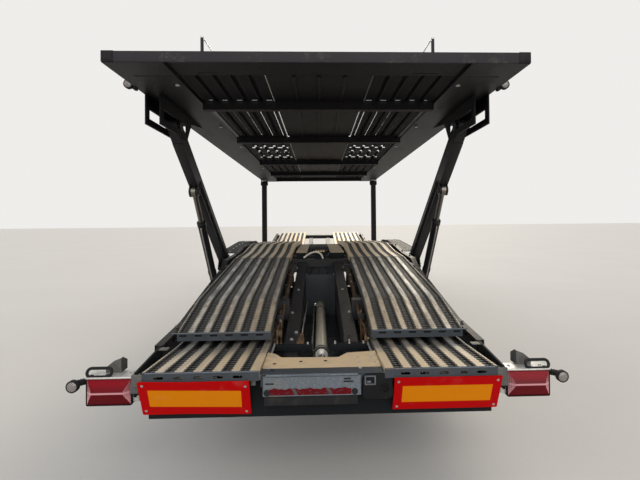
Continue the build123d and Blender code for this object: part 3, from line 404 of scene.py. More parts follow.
class Finish:
    """One material: its nodes are added by calls, and read Object coordinates."""

    def __init__(self, name):
        self.material = bpy.data.materials.new(name)
        self.material.use_nodes = True
        self.tree = self.material.node_tree
        self.tree.nodes.clear()
        self.place = self.node("ShaderNodeTexCoord", output="Object")
        parts = self.node("ShaderNodeSeparateXYZ", values={0: self.place}).socket.node
        self.x, self.y, self.z = (Value(self, parts.outputs[i]) for i in range(3))

    def node(self, kind, settings=None, values=None, output=0):
        """Adds a node: its settings first, then the values or links of its sockets."""
        node = self.tree.nodes.new(kind)
        for name, value in (settings or {}).items():
            setattr(node, name, value)
        for name, value in (values or {}).items():
            self.feed(node.inputs[name], value)
        return Value(self, node.outputs[output])

    def feed(self, socket, value):
        """Links a value to a socket, or sets the socket to a number or a colour."""
        if isinstance(value, Value):
            self.tree.links.new(value.socket, socket)
        elif socket.type == "RGBA":
            socket.default_value = (*value[:3], 1)
        else:
            socket.default_value = value

    def mix(self, factor, first, second):
        """Colour from first at factor 0 to second at factor 1."""
        return self.node("ShaderNodeMix", {"data_type": "RGBA"}, {0: factor, 6: first, 7: second}, output=2)

    def rise(self):
        """The attribute that a skin gives to its points."""
        return self.node("ShaderNodeAttribute", {"attribute_name": "rise"}, output="Fac")

    def where(self, stretch):
        """Object coordinates, times the stretch where there is one."""
        if stretch is None:
            return self.place
        return self.node("ShaderNodeMapping", values={"Vector": self.place, "Scale": stretch})

    def noise(self, scale, detail=3.0, stretch=None):
        """Fractal noise from 0 to 1; the stretch is its scale along X, Y and Z."""
        return self.node("ShaderNodeTexNoise", values={
            "Vector": self.where(stretch), "Scale": scale, "Detail": detail, "Roughness": 0.6})

    def cells(self, scale, feature="F1"):
        """Pattern of random cells: the distance to a cell's point or to its edge."""
        return self.node("ShaderNodeTexVoronoi", {"feature": feature}, {"Vector": self.place, "Scale": scale})

    def bump(self, height, strength=0.3, distance=0.002):
        """Normal leaned by the slope of a height."""
        return self.node("ShaderNodeBump", values={
            "Height": height, "Strength": strength, "Distance": distance})

    def surface(self, **values):
        """The shader; a name such as base_color stands for the socket Base Color."""
        shader = self.tree.nodes.new("ShaderNodeBsdfPrincipled")
        for name, value in values.items():
            words = name.replace("_", " ").title().replace("Ior", "IOR")
            self.feed(shader.inputs[words], value)
        out = self.tree.nodes.new("ShaderNodeOutputMaterial")
        self.tree.links.new(shader.outputs[0], out.inputs[0])
        return self.material


def tinted(base, factor):
    """Colour times a factor, each part at most 1."""
    return tuple(min(1.0, c * factor) for c in base)


def painted_steel(name, base, dust, rust, wear, rough, gloss=0.25, metallic=0.0):
    """Dark paint with soft blotches, dust lying on it in streaks, and chips that show rust."""
    f = Finish(name)
    blotch = f.noise(3.0, 4)
    fine = f.noise(60, 4)
    dusty = (f.noise(5.5, 5, (1, 0.35, 1)) * 0.8 + fine * 0.3).ramp(0.58, 0.85)
    chips = f.noise(26, 5).ramp(0.66, 0.72) * blotch.ramp(0.45, 0.6)
    body = f.mix(blotch, tinted(base, 0.7), tinted(base, 1.35))
    body = f.mix(dusty * wear, body, dust)
    body = f.mix(chips * 0.8, body, rust)
    return f.surface(base_color=body, roughness=(dusty * 0.25 + fine * 0.12 + (rough - 0.06)).least(1.0),
                     metallic=metallic, specular_ior_level=gloss,
                     normal=f.bump(fine + chips * 0.5, 0.25, 0.001))


def zinc_sheet(name, base, grime, dust, shine=0.34):
    """Galvanised sheet: pale crystals of zinc, dull patches and fine scratches along the travel."""
    f = Finish(name)
    spangle = f.cells(85)
    patch = f.noise(4.0, 5)
    scratch = f.noise(240, 2, (1, 0.03, 1)).ramp(0.5, 0.75)
    tone = f.mix(spangle, tinted(base, 0.78), tinted(base, 1.18))
    tone = f.mix(patch.ramp(0.5, 0.75) * 0.45, tone, dust)
    tone = f.mix(f.noise(14, 5).ramp(0.62, 0.8) * 0.55, tone, grime)
    return f.surface(base_color=tone, roughness=patch * 0.25 + scratch * 0.12 + shine, metallic=0.65,
                     normal=f.bump(scratch + f.noise(90, 3), 0.2, 0.0006))


def lower_wear_and_light(station):
    """Clay, brightness and breadth of the bright band along the lower tracks, partly worn zinc and clay,
    partly painted highlight; the brightness is a painted light level: sandy below the kink,
    grey above it, sandy, bright and broad over the hump."""
    kink, crest = station.ramp(1.05, 1.32), station.ramp(2.805, 2.815)
    return 0.46 - kink * 0.38 + crest * 0.66, 0.80 - kink * 0.12 + crest * 0.32, crest * 0.20


def rear_wear_and_shade(station):
    """Clay, brightness and breadth of the bright band along the rear tracks, partly worn zinc and clay,
    partly painted highlight: cream and broad at the tail, grey under the incline's lip, where the
    brightness falls as painted shade."""
    shade = station.ramp(0.24, 0.60)
    return 0.85 - shade * 0.55, 1.0 - shade * 0.52, 0.09 - shade * 0.06


def track_steel(name, c, pitch, tooth, lip, wear):
    """Plank of a track: worn zinc and dried clay on the ribs, dark grime in the channels between
    them, and a dull grey rear lip. A rib lies where the fraction of (|x| - inner) / pitch is under
    rib width / pitch; its bright middle, a painted highlight that falls to painted shade at its shoulders,
    swings in and out as |2 fraction(station / tooth) - 1|. Bright streaks along the ribs are painted glints
    and partly wear, and a painted light level darkens the ribs towards grime."""
    f = Finish(name)
    station = f.y + LENGTH / 2
    # Dried clay, a painted light level (painted shade under the incline's lip, light over the hump) and the
    # breadth of the painted highlight
    clay, light_level, breadth = wear(station)
    share = RIB_WIDTH / pitch
    across = ((abs(f.x) - TRACK_INNER) / pitch).fraction()
    rib = (across < share)
    swing = abs((station / tooth).fraction() * 2 - 1)
    aside = abs(across - share / 2) / share
    # lit_core: the bright middle of each rib is a painted highlight, its shoulders painted shade, notched
    # where the teeth bite
    lit_core = 1 - (aside - swing * 0.17 - breadth).ramp(0.20, 0.34)
    worn = f.noise(3.5, 4, (1.2, 0.5, 1))
    scuff = f.noise(46, 4, (1, 0.12, 1))
    # Streaks along the ribs: painted glints of light, partly wear
    glint_and_wear_streak = f.noise(38, 3, (1, 0.03, 1))
    scratch = f.noise(300, 2, (1, 0.02, 1)).ramp(0.5, 0.8)
    spots = f.noise(22, 5, (1, 0.5, 1)).ramp(0.6, 0.74)
    rusty = tinted(c.rust, 0.7)
    bright = f.mix(worn * 0.35 + glint_and_wear_streak.ramp(0.38, 0.62) * 0.65, tinted(c.zinc, 0.30), tinted(c.zinc, 1.6))
    sandy = f.mix(scuff, tinted(c.clay, 0.78), tinted(c.clay, 1.18))
    inside = 1 - abs(f.x).ramp(0.42, 0.80)
    bright = f.mix((clay + inside * 0.34 + worn * 0.5 - 0.36).least(0.92).most(0), bright, sandy)
    bright = f.mix(spots * 0.5, bright, rusty)
    dark = f.mix(f.noise(30, 5), tinted(c.grime, 0.4), tinted(c.grime, 1.3))
    dark = f.mix(f.noise(7, 4).ramp(0.55, 0.8) * 0.15, dark, tinted(c.dust, 0.4))
    # Painted shade: where the light level is low the ribs are darkened towards grime
    bright = f.mix((1 - light_level).most(0), bright, tinted(c.grime, 1.6))
    shown = rib * (0.10 + lit_core * 0.90)
    tone = f.mix(shown, dark, bright)
    # Painted shade of the gap: a dark band across the ribs where the incline meets the hump
    tone = f.mix((abs(station - INCLINE_END + 0.012) < 0.016) * 0.9, tone, tinted(c.grime, 0.5))
    creamy = (abs(f.x) < TRACK_INNER + RIB_WIDTH) * clay.ramp(0.6, 0.8)
    tone = f.mix(creamy * 0.8, tone, f.mix(spots * 0.5, sandy, rusty))
    edge = f.mix(worn * 0.6 + scuff * 0.4, tinted(c.panel, 0.22), tinted(c.panel, 0.62))
    tone = f.mix(station < lip, tone, f.mix(spots * 0.4, edge, tinted(c.rust, 0.5)))
    return f.surface(
        base_color=tone, roughness=0.82 - shown * 0.38 + scuff * 0.14,
        metallic=shown * (1 - clay).least(0.55).most(0.1), specular_ior_level=0.22,
        normal=f.bump(scuff * 0.6 + scratch * 0.5, 0.3, 0.0008))


def upper_steel(name, c):
    """Plank of the upper deck: worn zinc on top of the ribs, which slope down forwards with the deck,
    and near-black steel on all that faces down, a painted shade."""
    f = Finish(name)
    top = f.z + (f.y + LENGTH / 2 - DECK_REAR) * DECK_FALL > UPPER_LINE[0, 1] - 0.003
    worn = f.noise(3.5, 4, (1.2, 0.5, 1))
    scuff = f.noise(46, 4, (1, 0.12, 1))
    bright = f.mix(worn, tinted(c.zinc, 0.6), tinted(c.zinc, 1.15))
    bright = f.mix(scuff.ramp(0.45, 0.75) * 0.4, bright, tinted(c.clay, 0.9))
    across = ((abs(f.x) - UPPER_INNER - UPPER_PITCH + RIB_WIDTH) / UPPER_PITCH).fraction()
    folded = across < RIB_WIDTH / UPPER_PITCH
    # All that faces down takes this near-black colour: painted shade under the deck
    dark = f.mix(folded * (0.4 + worn * 0.6), tinted(c.deck, 0.75), tinted(c.deck, 2.6))
    return f.surface(base_color=f.mix(top, dark, bright), roughness=0.7 - top * 0.2 + scuff * 0.1,
                     metallic=top * 0.4, specular_ior_level=0.15, normal=f.bump(scuff, 0.3, 0.0008))


def tooth_steel(name, c):
    """Punched teeth: lighter metal where the attribute rise is high, near black where it is low."""
    f = Finish(name)
    high = f.rise().ramp(0.55, 0.95)
    fine = f.noise(70, 4)
    metal = f.mix(f.noise(5, 4), tinted(c.zinc, 0.10), tinted(c.zinc, 0.27))
    tone = f.mix(high * (0.45 + fine * 0.5), tinted(c.grime, 0.35), metal)
    tone = f.mix(f.noise(16, 5).ramp(0.6, 0.78) * 0.5, tone, tinted(c.rust, 0.5))
    return f.surface(base_color=tone, roughness=0.85 - high * 0.35, metallic=high * 0.45,
                     specular_ior_level=0.25, normal=f.bump(fine, 0.3, 0.0008))


def rubber(name, base, dust, dusty=0.3):
    """Rubber with a fine grain and patches of dust."""
    f = Finish(name)
    fine = f.noise(150, 3)
    patch = f.noise(9, 5).ramp(0.5, 0.78)
    tone = f.mix(patch * dusty, f.mix(fine, tinted(base, 0.8), tinted(base, 1.4)), dust)
    return f.surface(base_color=tone, roughness=0.62 + fine * 0.2, specular_ior_level=0.25,
                     normal=f.bump(fine, 0.25, 0.0006))


def polished(name, base, along, rough, metallic=1.0):
    """Ground and polished metal: fine rings and a thin oily film."""
    f = Finish(name)
    film = f.noise(6, 4)
    grain = f.noise(400, 2, along)
    tone = f.mix(film.ramp(0.5, 0.8) * 0.5, base, tinted(base, 0.55))
    return f.surface(base_color=tone, roughness=rough + film * 0.12 + grain * 0.05, metallic=metallic,
                     normal=f.bump(grain, 0.06, 0.0004))


def cover_sheet(name, c):
    """Warm cream sheet: scratches along the travel and dirt gathered at its ends."""
    f = Finish(name)
    patch = f.noise(5, 5)
    scratch = f.noise(160, 3, (1, 0.05, 1)).ramp(0.55, 0.8)
    dirt = (f.noise(9, 6).ramp(0.52, 0.75) * 0.5
            + abs(f.x).ramp(0.2, 0.33) * f.noise(22, 5).ramp(0.42, 0.62) * 0.6)
    tone = f.mix(patch, tinted(c.cover, 0.86), tinted(c.cover, 1.16))
    tone = f.mix(scratch * 0.3, tone, tinted(c.clay, 1.3))
    tone = f.mix(dirt.least(1.0) * 0.7, tone, tinted(c.clay, 0.55))
    # Painted shade: the strip behind the fold, a sloped face in shade, is painted grey
    folded = 1 - (f.y + LENGTH / 2 + f.noise(14, 3) * 0.006).ramp(COVER_FOLD, COVER_FOLD + 0.006)
    grey = f.mix(patch * 0.6 + scratch * 0.4, tinted(c.panel, 0.22), tinted(c.panel, 0.60))
    return f.surface(base_color=f.mix(folded, tone, grey), roughness=0.5 + patch * 0.2, metallic=0.1,
                     specular_ior_level=0.3, normal=f.bump(scratch + patch, 0.2, 0.0008))


def lamp_lens(name, c):
    """Red lens: clear pale facets at its two ends, prism bars inside, a painted highlight along the ridge,
    the upper slope painted lighter and the lower slope darker as painted shade.
    """
    f = Finish(name)
    prism = ((f.x * 900).sine() * 0.5 + 0.5) * ((f.z * 700).sine() * 0.5 + 0.5)
    red = f.mix(prism * 0.6, tinted(c.lamp, 0.45), tinted(c.lamp, 1.0))
    # Upper slope painted lighter red: painted light; the lower slope stays darker as painted shade
    red = f.mix(f.z.ramp(LAMP_HEIGHT, LAMP_HEIGHT + 0.05) * 0.5, red, tinted(c.lamp, 1.5))
    pale = f.mix(prism, (0.55, 0.16, 0.19), (0.95, 0.72, 0.72))
    low = 1 - f.z.ramp(LAMP_HEIGHT - 0.05, LAMP_HEIGHT + 0.03) * 0.55
    tone = f.mix(f.rise().ramp(0.30, 0.55) * low, red, pale)
    # Painted highlight along the lens's ridge
    ridge = 1 - abs(f.z - LAMP_HEIGHT).ramp(0.0025, 0.007)
    tone = f.mix(ridge * 0.7, tone, (0.85, 0.42, 0.45))
    return f.surface(base_color=tone, roughness=0.22, specular_ior_level=0.12, coat_weight=0.04,
                     coat_roughness=0.08, normal=f.bump(prism, 0.12, 0.0006))


def lamp_body(name, c):
    """Lamp node: galvanised case, and lens red on what lies behind the fine lens."""
    f = Finish(name)
    front = f.y + LENGTH / 2 < LAMP_FACE + 0.0345
    patch = f.noise(12, 4)
    case = f.mix(patch, tinted(c.zinc, 0.18), tinted(c.zinc, 0.62))
    return f.surface(base_color=f.mix(front, case, tinted(c.lamp, 0.6)), roughness=0.5 + patch * 0.25,
                     metallic=(1 - front) * 0.25, normal=f.bump(patch, 0.2, 0.0006))


def marker_lens(name, c):
    """Clear lens with a fine lattice over a dark inside."""
    f = Finish(name)
    rings = (((f.z - MARKER_HEIGHT) * 500).sine() * (f.x * 500).sine()) * 0.5 + 0.5
    return f.surface(base_color=f.mix(rings, (0.06, 0.045, 0.042), (0.34, 0.31, 0.29)), roughness=0.2,
                     coat_weight=0.5, normal=f.bump(rings, 0.3, 0.0006))


def plate_finish(name, base):
    """Reflective sheet: a fine honeycomb, a little faded and dusty."""
    f = Finish(name)
    cell = f.cells(420, "DISTANCE_TO_EDGE").ramp(0.0, 0.12)
    faded = f.noise(7, 4)
    tone = f.mix(cell, tinted(base, 0.86), base)
    tone = f.mix(faded.ramp(0.55, 0.8) * 0.06, tone, (0.75, 0.6, 0.5))
    return f.surface(base_color=tone, roughness=0.5 + faded * 0.12, specular_ior_level=0.06,
                     normal=f.bump(cell, 0.05, 0.0003))


def hazard_tape(name, c):
    """Worn tape: a red band with narrow slanted breaks, its surface flaked away in patches."""
    f = Finish(name)
    block = ((f.x * 5.6 + f.z * 3.0).fraction()) > 0.10
    flake = (f.noise(55, 6, (1, 1, 1.6)) * 0.7 + f.noise(170, 3) * 0.3).ramp(0.53, 0.60)
    tone = f.mix(block, (0.08, 0.07, 0.07), (0.11, 0.002, 0.005))
    tone = f.mix(flake * 0.85, tone, tinted(c.panel, 0.30))
    return f.surface(base_color=tone, roughness=0.6, specular_ior_level=0.08,
                     normal=f.bump(flake, 0.3, 0.0005))


def deck_under(name, c):
    """Underside of the deck's sheets: almost black, with faint bands across where it was welded."""
    f = Finish(name)
    band = f.noise(2.6, 3, (0.4, 2.2, 1))
    fine = f.noise(40, 4)
    tone = f.mix(band, tinted(c.deck, 0.55), tinted(c.deck, 1.3))
    tone = f.mix(f.noise(6, 5).ramp(0.6, 0.8) * 0.2, tone, tinted(c.rust, 0.2))
    return f.surface(base_color=tone, roughness=0.5 + fine * 0.2, specular_ior_level=0.15,
                     normal=f.bump(fine, 0.3, 0.0008))


def make_materials(c, sizes):
    """All finishes by name, each made by its function from the values after it."""
    t, round_grain, long_grain = tinted, (1, 1, 1), (1, 0.02, 1)
    rows = {
        painted_steel: (
            ("deck", "deck_paint", c.deck, t(c.dust, 0.16), c.rust, 0.3, 0.5, 0.12),
            ("deck_edge", "deck_edge_paint", t(c.deck, 2.2), t(c.dust, 0.55), c.rust, 0.7, 0.55),
            ("chassis", "chassis_paint", c.chassis, t(c.dust, 0.4), c.rust, 0.42, 0.52),
            ("side_rail", "side_rail_paint", t(c.chassis, 0.35), t(c.dust, 0.14), c.rust, 0.3, 0.5, 0.15),
            ("arm", "arm_paint", t(c.deck, 1.2), t(c.rust, 0.45), c.rust, 0.55, 0.45),
            ("axle", "axle_paint", t(c.chassis, 0.7), t(c.dust, 0.5), c.rust, 0.7, 0.7),
            ("plastic", "black_plastic", t(c.rubber, 0.7), t(c.dust, 0.2), t(c.dust, 0.2), 0.2, 0.6, 0.12),
            ("well", "well_paint", t(c.chassis, 1.1), t(c.dust, 0.28), c.rust, 0.35, 0.5, 0.2),
            ("floor", "floor_paint", t(c.panel, 0.3), t(c.panel, 0.6), c.rust, 0.3, 0.45, 0.2),
            ("frame", "frame_paint", t(c.panel, 0.065), t(c.dust, 0.1), t(c.rust, 0.4), 0.3, 0.6, 0.1),
            ("saddle", "saddle_steel", t(c.clay, 0.62), t(c.clay, 1.15), c.rust, 0.9, 0.6, 0.2),
            ("rusty", "rusty_steel", t(c.rust, 0.55), t(c.clay, 0.6), c.rust, 0.7, 0.7, 0.2),
            ("cast", "cast_steel", t(c.chassis, 1.6), t(c.dust, 0.5), c.rust, 0.5, 0.6, 0.25, 0.3),
            ("rim", "rim_paint", t(c.panel, 1.8), t(c.dust, 0.7), c.rust, 0.55, 0.5, 0.25, 0.2)),
        zinc_sheet: (
            ("zinc", "zinc_sheet", c.zinc, t(c.grime, 3), t(c.dust, 0.9)),
            ("dull_zinc", "dull_zinc_sheet", t(c.zinc, 0.22), t(c.grime, 2), t(c.dust, 0.35), 0.45),
            ("panel", "grey_panel", c.panel, t(c.grime, 3), t(c.dust, 0.6), 0.42),
            ("saw", "saw_steel", t(c.zinc, 0.1), c.grime, t(c.clay, 0.35), 0.5),
            ("nose", "nose_steel", c.panel, t(c.grime, 2), c.rust, 0.45)),
        track_steel: (
            ("lower_track", "lower_track_steel", c, LOWER_PITCH, sizes.tooth_pitch, LOWER_LIP, lower_wear_and_light),
            ("rear_track", "rear_track_steel", c, REAR_PITCH, sizes.rear_tooth_pitch, REAR_LIP, rear_wear_and_shade)),
        rubber: (
            ("pale", "pale_hose", (0.62, 0.58, 0.50), t(c.dust, 0.6)),
            ("rubber", "black_rubber", t(c.rubber, 0.8), t(c.dust, 0.35), 0.25),
            ("tyre", "tyre_rubber", t(c.rubber, 0.9), t(c.dust, 0.55), 0.42),
            ("hose", "hose_rubber", t(c.rubber, 1.2), t(c.dust, 0.5), 0.5),
            ("dry_hose", "dry_hose", t(c.rust, 0.42), t(c.clay, 0.9), 0.8)),
        polished: (
            ("chrome", "rod_chrome", (0.86, 0.84, 0.80), long_grain, 0.12),
            ("oiled", "oiled_rod", (0.20, 0.185, 0.16), long_grain, 0.3),
            ("barrel", "barrel_metal", (0.98, 0.90, 0.70), (1, 0.03, 1), 0.22, 0.55),
            ("bolt", "bolt_steel", (0.55, 0.54, 0.52), round_grain, 0.35),
            ("brass", "brass", (0.70, 0.48, 0.22), round_grain, 0.3)),
        plate_finish: (("plate_red", "plate_red", c.border), ("plate_amber", "plate_amber", c.amber)),
        upper_steel: (("upper_track", "upper_track_steel", c),),
        tooth_steel: (("tooth", "tooth_steel", c),),
        cover_sheet: (("cover", "cover_sheet", c),),
        lamp_lens: (("lens", "lamp_lens", c),),
        lamp_body: (("lamp_body", "lamp_body", c),),
        marker_lens: (("marker_lens", "marker_lens", c),),
        hazard_tape: (("tape", "hazard_tape", c),),
        deck_under: (("deck_under", "deck_underside", c),),
    }
    return {name: make(*values) for make, group in rows.items() for name, *values in group}


# Nodes by their finish; a name stands for its left and right, rear and front nodes too
NODE_FINISHES = {
    "deck": "front_post deck_sides", "deck_edge": "guard_posts", "chassis": "outriggers drawbar",
    "deck_under": "deck_crossmembers upper_infill", "well": "main_rails", "floor": "centre_pan",
    "side_rail": "side_frame",
    "plastic": "mudguard socket_panel work_lamps", "axle": "axle suspension", "tyre": "tyres", "rim": "rims",
    "cast": "towing_eye", "dull_zinc": "support_leg", "barrel": "extension_barrel", "chrome": "extension_rod",
    "frame": "valve_block rear_frame", "cover": "rear_cover", "panel": "tape_plate", "oiled": "cylinder_rod",
    "plate_red": "marking_plate", "lamp_body": "tail_lamp", "rubber": "lamp_handles marker_lamps",
    "bolt": "guard_ropes", "arm": "lift_arm cylinder_barrel", "rear_track": "rear_track",
    "upper_track": "upper_track", "lower_track": "incline_track hump_track front_track",
}


# Pieces

CHASSIS, TAIL, DECK = "chassis", "rear_extension", "upper_deck"


def tooth_strip(skin, line, start, end, x, width, pitch, rise):
    """Strip of punched teeth: at each pitch the section rises to a flat top for a third of the
    pitch and widens by a quarter, then drops to the floor. Section: a low trapezium."""
    beats = np.arange(math.floor((end - start - 0.02) / pitch))
    station = (start + 0.01 + (beats[:, None] + (0.0, 0.10, 0.40, 0.52, 0.98)) * pitch).ravel()
    height = np.tile((0.0, 1.0, 1.0, 0.0, 0.0), len(beats))
    half = width / 2 * (0.78 + 0.22 * height)
    floor = height_on(line, station) - RIB_HEIGHT
    u = np.array([-1.0, -0.82, 0.0, 0.82, 1.0, 1.0, -1.0])
    lift = np.array([0.15, 1.0, 1.0, 1.0, 0.15, 0.0, 0.0])
    deep = np.array([0, 0, 0, 0, 0, -0.0005, -0.0005])
    rings = at(x + half[:, None] * u, station[:, None],
               floor[:, None] + 0.0012 + lift * (height * rise)[:, None] + deep)
    skin.rings(rings, np.repeat(height[:, None], len(u), 1) * (lift > 0.5))


def saw_edges(line, start, end, edges, pitch, reach):
    """Saw-toothed rims: along each edge the outer side of a thin bar just under the rib's top swings
    from 0 out to the reach and back once a pitch. Section: four points."""
    beats = np.arange(math.floor((end - start - 0.012) / pitch))
    station = (start + 0.006 + (beats[:, None] + (0.0, 0.5)) * pitch).ravel()
    top = height_on(line, station) - 0.0004
    skin = Skin()
    for x, way in edges:
        inner, outer = x - way * 0.002, x + way * np.tile((0.0005, reach), len(beats))
        corners = (inner, 0), (outer, 0), (outer, 0.005), (inner, 0.005)
        skin.rings(np.stack([at(a, station, top - drop) for a, drop in corners], 1))
    return skin


def lens(sign):
    """Hipped roof: depth is the least of its full value and its rise from each edge, smoothed at
    the ridge; the attribute rise marks the two end facets."""
    half_x, half_z, deep, hip = 0.1205, 0.0725, 0.0365, 0.038
    u, w = np.meshgrid(np.linspace(-1, 1, 61), np.linspace(-1, 1, 37), indexing="ij")
    x, z = u * half_x, w * half_z
    end = (half_x - np.abs(x)) / hip
    face = (half_z - np.abs(z)) / (half_z - 0.003)
    depth = deep * np.minimum(np.minimum(end, face), 1) ** 0.92
    top = np.stack([sign * LAMP_MIDDLE + x, y_at(LENS_BACK) - depth, LAMP_HEIGHT + z], -1)
    rim = np.concatenate([top[:-1, 0], top[-1, :-1], top[:0:-1, -1], top[0, :0:-1]])
    back = rim + (0, 0.006, 0)
    skin = Skin().grid(top, rise=(end < face).astype(float))
    return skin.grid(np.stack([rim, back, np.repeat(back.mean(0)[None], len(back), 0)]), across=True)


def arm_point(along, across):
    """Station and height at a distance along the arm from its foot, and a distance across it,
    counted down and to the rear."""
    direction = unit(ARM_HEAD - ARM_FOOT)
    side = np.array((-direction[1], direction[0]))
    return ARM_FOOT + direction * along + side * across


def tyre(x, station):
    """Tyre: a section of (offset, radius) carried round, with tread grooves where the radius dips,
    and bars round the shoulder."""
    shoulder = np.array([
        (-0.60, 0.232), (-0.78, 0.236), (-0.90, 0.252), (-0.985, 0.285), (-1.0, 0.315), (-0.975, 0.345),
        (-0.93, 0.368), (-0.885, 0.382), (-0.80, 0.3895), (-0.66, 0.3925), (-0.63, 0.3925), (-0.615, 0.384),
        (-0.565, 0.384), (-0.55, 0.3932), (-0.26, 0.3942), (-0.235, 0.385), (-0.185, 0.385), (-0.16, 0.3944)])
    section = np.concatenate([shoulder, [(0.0, TYRE_RADIUS)], shoulder[::-1] * (-1, 1)])
    segments = 120
    a = np.linspace(0, 2 * np.pi, segments, endpoint=False)
    offset, radius = section[:, 0] * (TYRE_WIDTH / 2), section[:, 1]
    bars = (np.arange(segments) % 3 == 0)[:, None] * (np.abs(section[:, 0]) > 0.7) * (radius > 0.36)
    r = np.concatenate([radius[None] - 0.0035 * bars, np.full((segments, 1), 0.2275)], 1)
    return Skin().grid(np.stack([
        np.broadcast_to(x + np.append(offset, 0), r.shape), y_at(station) + r * np.cos(a)[:, None],
        TYRE_RADIUS + r * np.sin(a)[:, None]], -1), across=True, along=True)


def rim(station, sign):
    """Rims: two barrels, a dished disc bolted through, ten nuts and a hub cap, all turned about X."""
    axis, middle, count = (sign, 0, 0), (OUTER_TYRE + INNER_TYRE) / 2, 10
    barrel = [(0.2265, -0.086), (0.236, -0.094), (0.238, -0.100), (0.226, -0.100), (0.216, -0.088),
              (0.214, -0.03), (0.208, 0.0), (0.214, 0.03), (0.216, 0.088), (0.226, 0.100), (0.238, 0.100),
              (0.236, 0.094), (0.2265, 0.086), (0.2265, 0.0)]
    disc = [(0.05, -0.010), (0.14, -0.010), (0.165, -0.012), (0.190, 0.030), (0.213, 0.075), (0.213, 0.085),
            (0.200, 0.080), (0.178, 0.040), (0.158, 0.008), (0.14, 0.006), (0.05, 0.006)]
    cap = [(0.12, 0.0), (0.12, 0.03), (0.105, 0.045), (0.082, 0.060), (0.082, 0.105), (0.074, 0.118),
           (0.0, 0.122)]
    skin = Skin()
    for profile, x, segments in ((barrel, INNER_TYRE, 72), (barrel, OUTER_TYRE, 72), (disc, middle, 60),
                                 (cap, middle + 0.004, 40)):
        skin.turned(profile, at(sign * x, station, TYRE_RADIUS), axis, segments)
    a = np.linspace(0, 2 * np.pi, count, endpoint=False)
    b = a + np.pi / count

    def around(x, radius, angle):
        """Points on a circle about the axle: station + radius * cos, height + radius * sin."""
        return np.stack([np.full(count, sign * x), y_at(station) + radius * np.cos(angle),
                         TYRE_RADIUS + radius * np.sin(angle)], -1)

    nuts = Skin().copies(bolt(0.030, 0.95), around(middle + 0.006, 0.1375, a), facing(axis))
    slant = unit(np.stack([np.full(count, sign * 1.0), -0.62 * np.cos(b), -0.62 * np.sin(b)], -1))
    holes = Skin()
    for spot, face in zip(around(middle + 0.035, 0.186, b), slant):
        holes.turned([(0.017, -0.012), (0.0185, 0.0), (0.0165, 0.002), (0.0, 0.001)], spot, face, 14)
    return skin, nuts, holes


class TRAILER_OT_finishes(bpy.types.Operator):
    """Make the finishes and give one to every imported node"""

    bl_idname = "trailer.finishes"
    bl_label = "Finishes"

    def execute(self, context):
        FINISHES.update(make_materials(context.scene.trailer_colours, context.scene.trailer_sizes))
        kinds = {node: finish for finish, nodes in NODE_FINISHES.items() for node in nodes.split()}
        for name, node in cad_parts.items():
            kind = next(k for k in (name, name.rsplit("_", 1)[0], name.rsplit("_", 2)[0]) if k in kinds)
            node.data.materials.clear()
            node.data.materials.append(FINISHES[kinds[kind]])
        return {"FINISHED"}


class TRAILER_OT_teeth(bpy.types.Operator):
    """Lay a strip of punched teeth in every channel of the tracks, and edge the ribs and the lips"""

    bl_idname = "trailer.teeth"
    bl_label = "Track teeth"

    def execute(self, context):
        sizes = context.scene.trailer_sizes
        fine, coarse, wide = sizes.tooth_pitch, sizes.rear_tooth_pitch, sizes.tooth_pitch * 1.6
        lower = [TRACK_INNER + (RIB_WIDTH + LOWER_PITCH) / 2 + i * LOWER_PITCH for i in range(6)]
        rear = [TRACK_INNER + (RIB_WIDTH + REAR_PITCH) / 2 + i * REAR_PITCH for i in range(6)]
        upper = [UPPER_INNER + (UPPER_PITCH - RIB_WIDTH) / 2 + i * UPPER_PITCH for i in range(5)]
        slits = [x + d for x in upper for d in (-0.018, 0.018)]
        hump, front = (INCLINE_END + TRACK_GAP, HUMP_END), (HUMP_END + TRACK_GAP, TRACK_END)
        for name, line, spans, channels, pitch, width, body in (
            ("incline", LOWER_LINE, [(0.65, INCLINE_END)], lower, fine, 0.044, CHASSIS),
            ("hump", LOWER_LINE, [hump], lower, fine, 0.044, CHASSIS),
            ("front", LOWER_LINE, [front], lower, fine, 0.044, CHASSIS),
            ("rear", REAR_LINE, [(0.015, 0.64)], rear, coarse, 0.050, TAIL),
            ("upper", UPPER_LINE, [(0.57, 1.12), (4.02, 4.35), (4.86, 8.19)], upper, wide, 0.056, DECK),
            ("slit", UPPER_LINE, [(1.35, 2.71)], slits, wide, 0.022, DECK),
        ):
            for side, sign in SIDES:
                skin = Skin()
                for start, end in spans:
                    for x in channels:
                        tooth_strip(skin, line, start, end, sign * x, width, pitch, sizes.tooth_rise)
                piece(f"{name}_teeth_{side}", skin, body, "tooth")
        for name, line, start, end, rib_pitch, pitch, reach, body in (
            ("incline", LOWER_LINE, 0.657, INCLINE_END, LOWER_PITCH, fine, 0.0085, CHASSIS),
            ("hump", LOWER_LINE, *hump, LOWER_PITCH, fine, 0.0085, CHASSIS),
            ("front", LOWER_LINE, *front, LOWER_PITCH, fine, 0.0085, CHASSIS),
            ("rear", REAR_LINE, 0.022, 0.66, REAR_PITCH, coarse, 0.012, TAIL),
        ):
            for side, sign in SIDES:
                edges = [(sign * (TRACK_INNER + i * rib_pitch + across), sign * way)
                         for i in range(7) for across, way in ((0.0, -1), (RIB_WIDTH, 1))][1:-1]
                skin = saw_edges(line, start, end, edges, pitch, reach)
                piece(f"{name}_saw_edges_{side}", skin, body, "saw")
        for name, line, start, outer, body in (("rear_lip_noses", REAR_LINE, 0.0175, 0.905, TAIL),
                                               ("incline_lip_noses", LOWER_LINE, 0.6535, 0.958, CHASSIS)):
            x, skin = np.linspace(TRACK_INNER + 0.003, outer, 12), Skin()
            for _, sign in SIDES:
                skin.tube(at(sign * x, start, height_on(line, start) - 0.003), 0.0046)
            piece(name, skin, body, "nose")
        return {"FINISHED"}


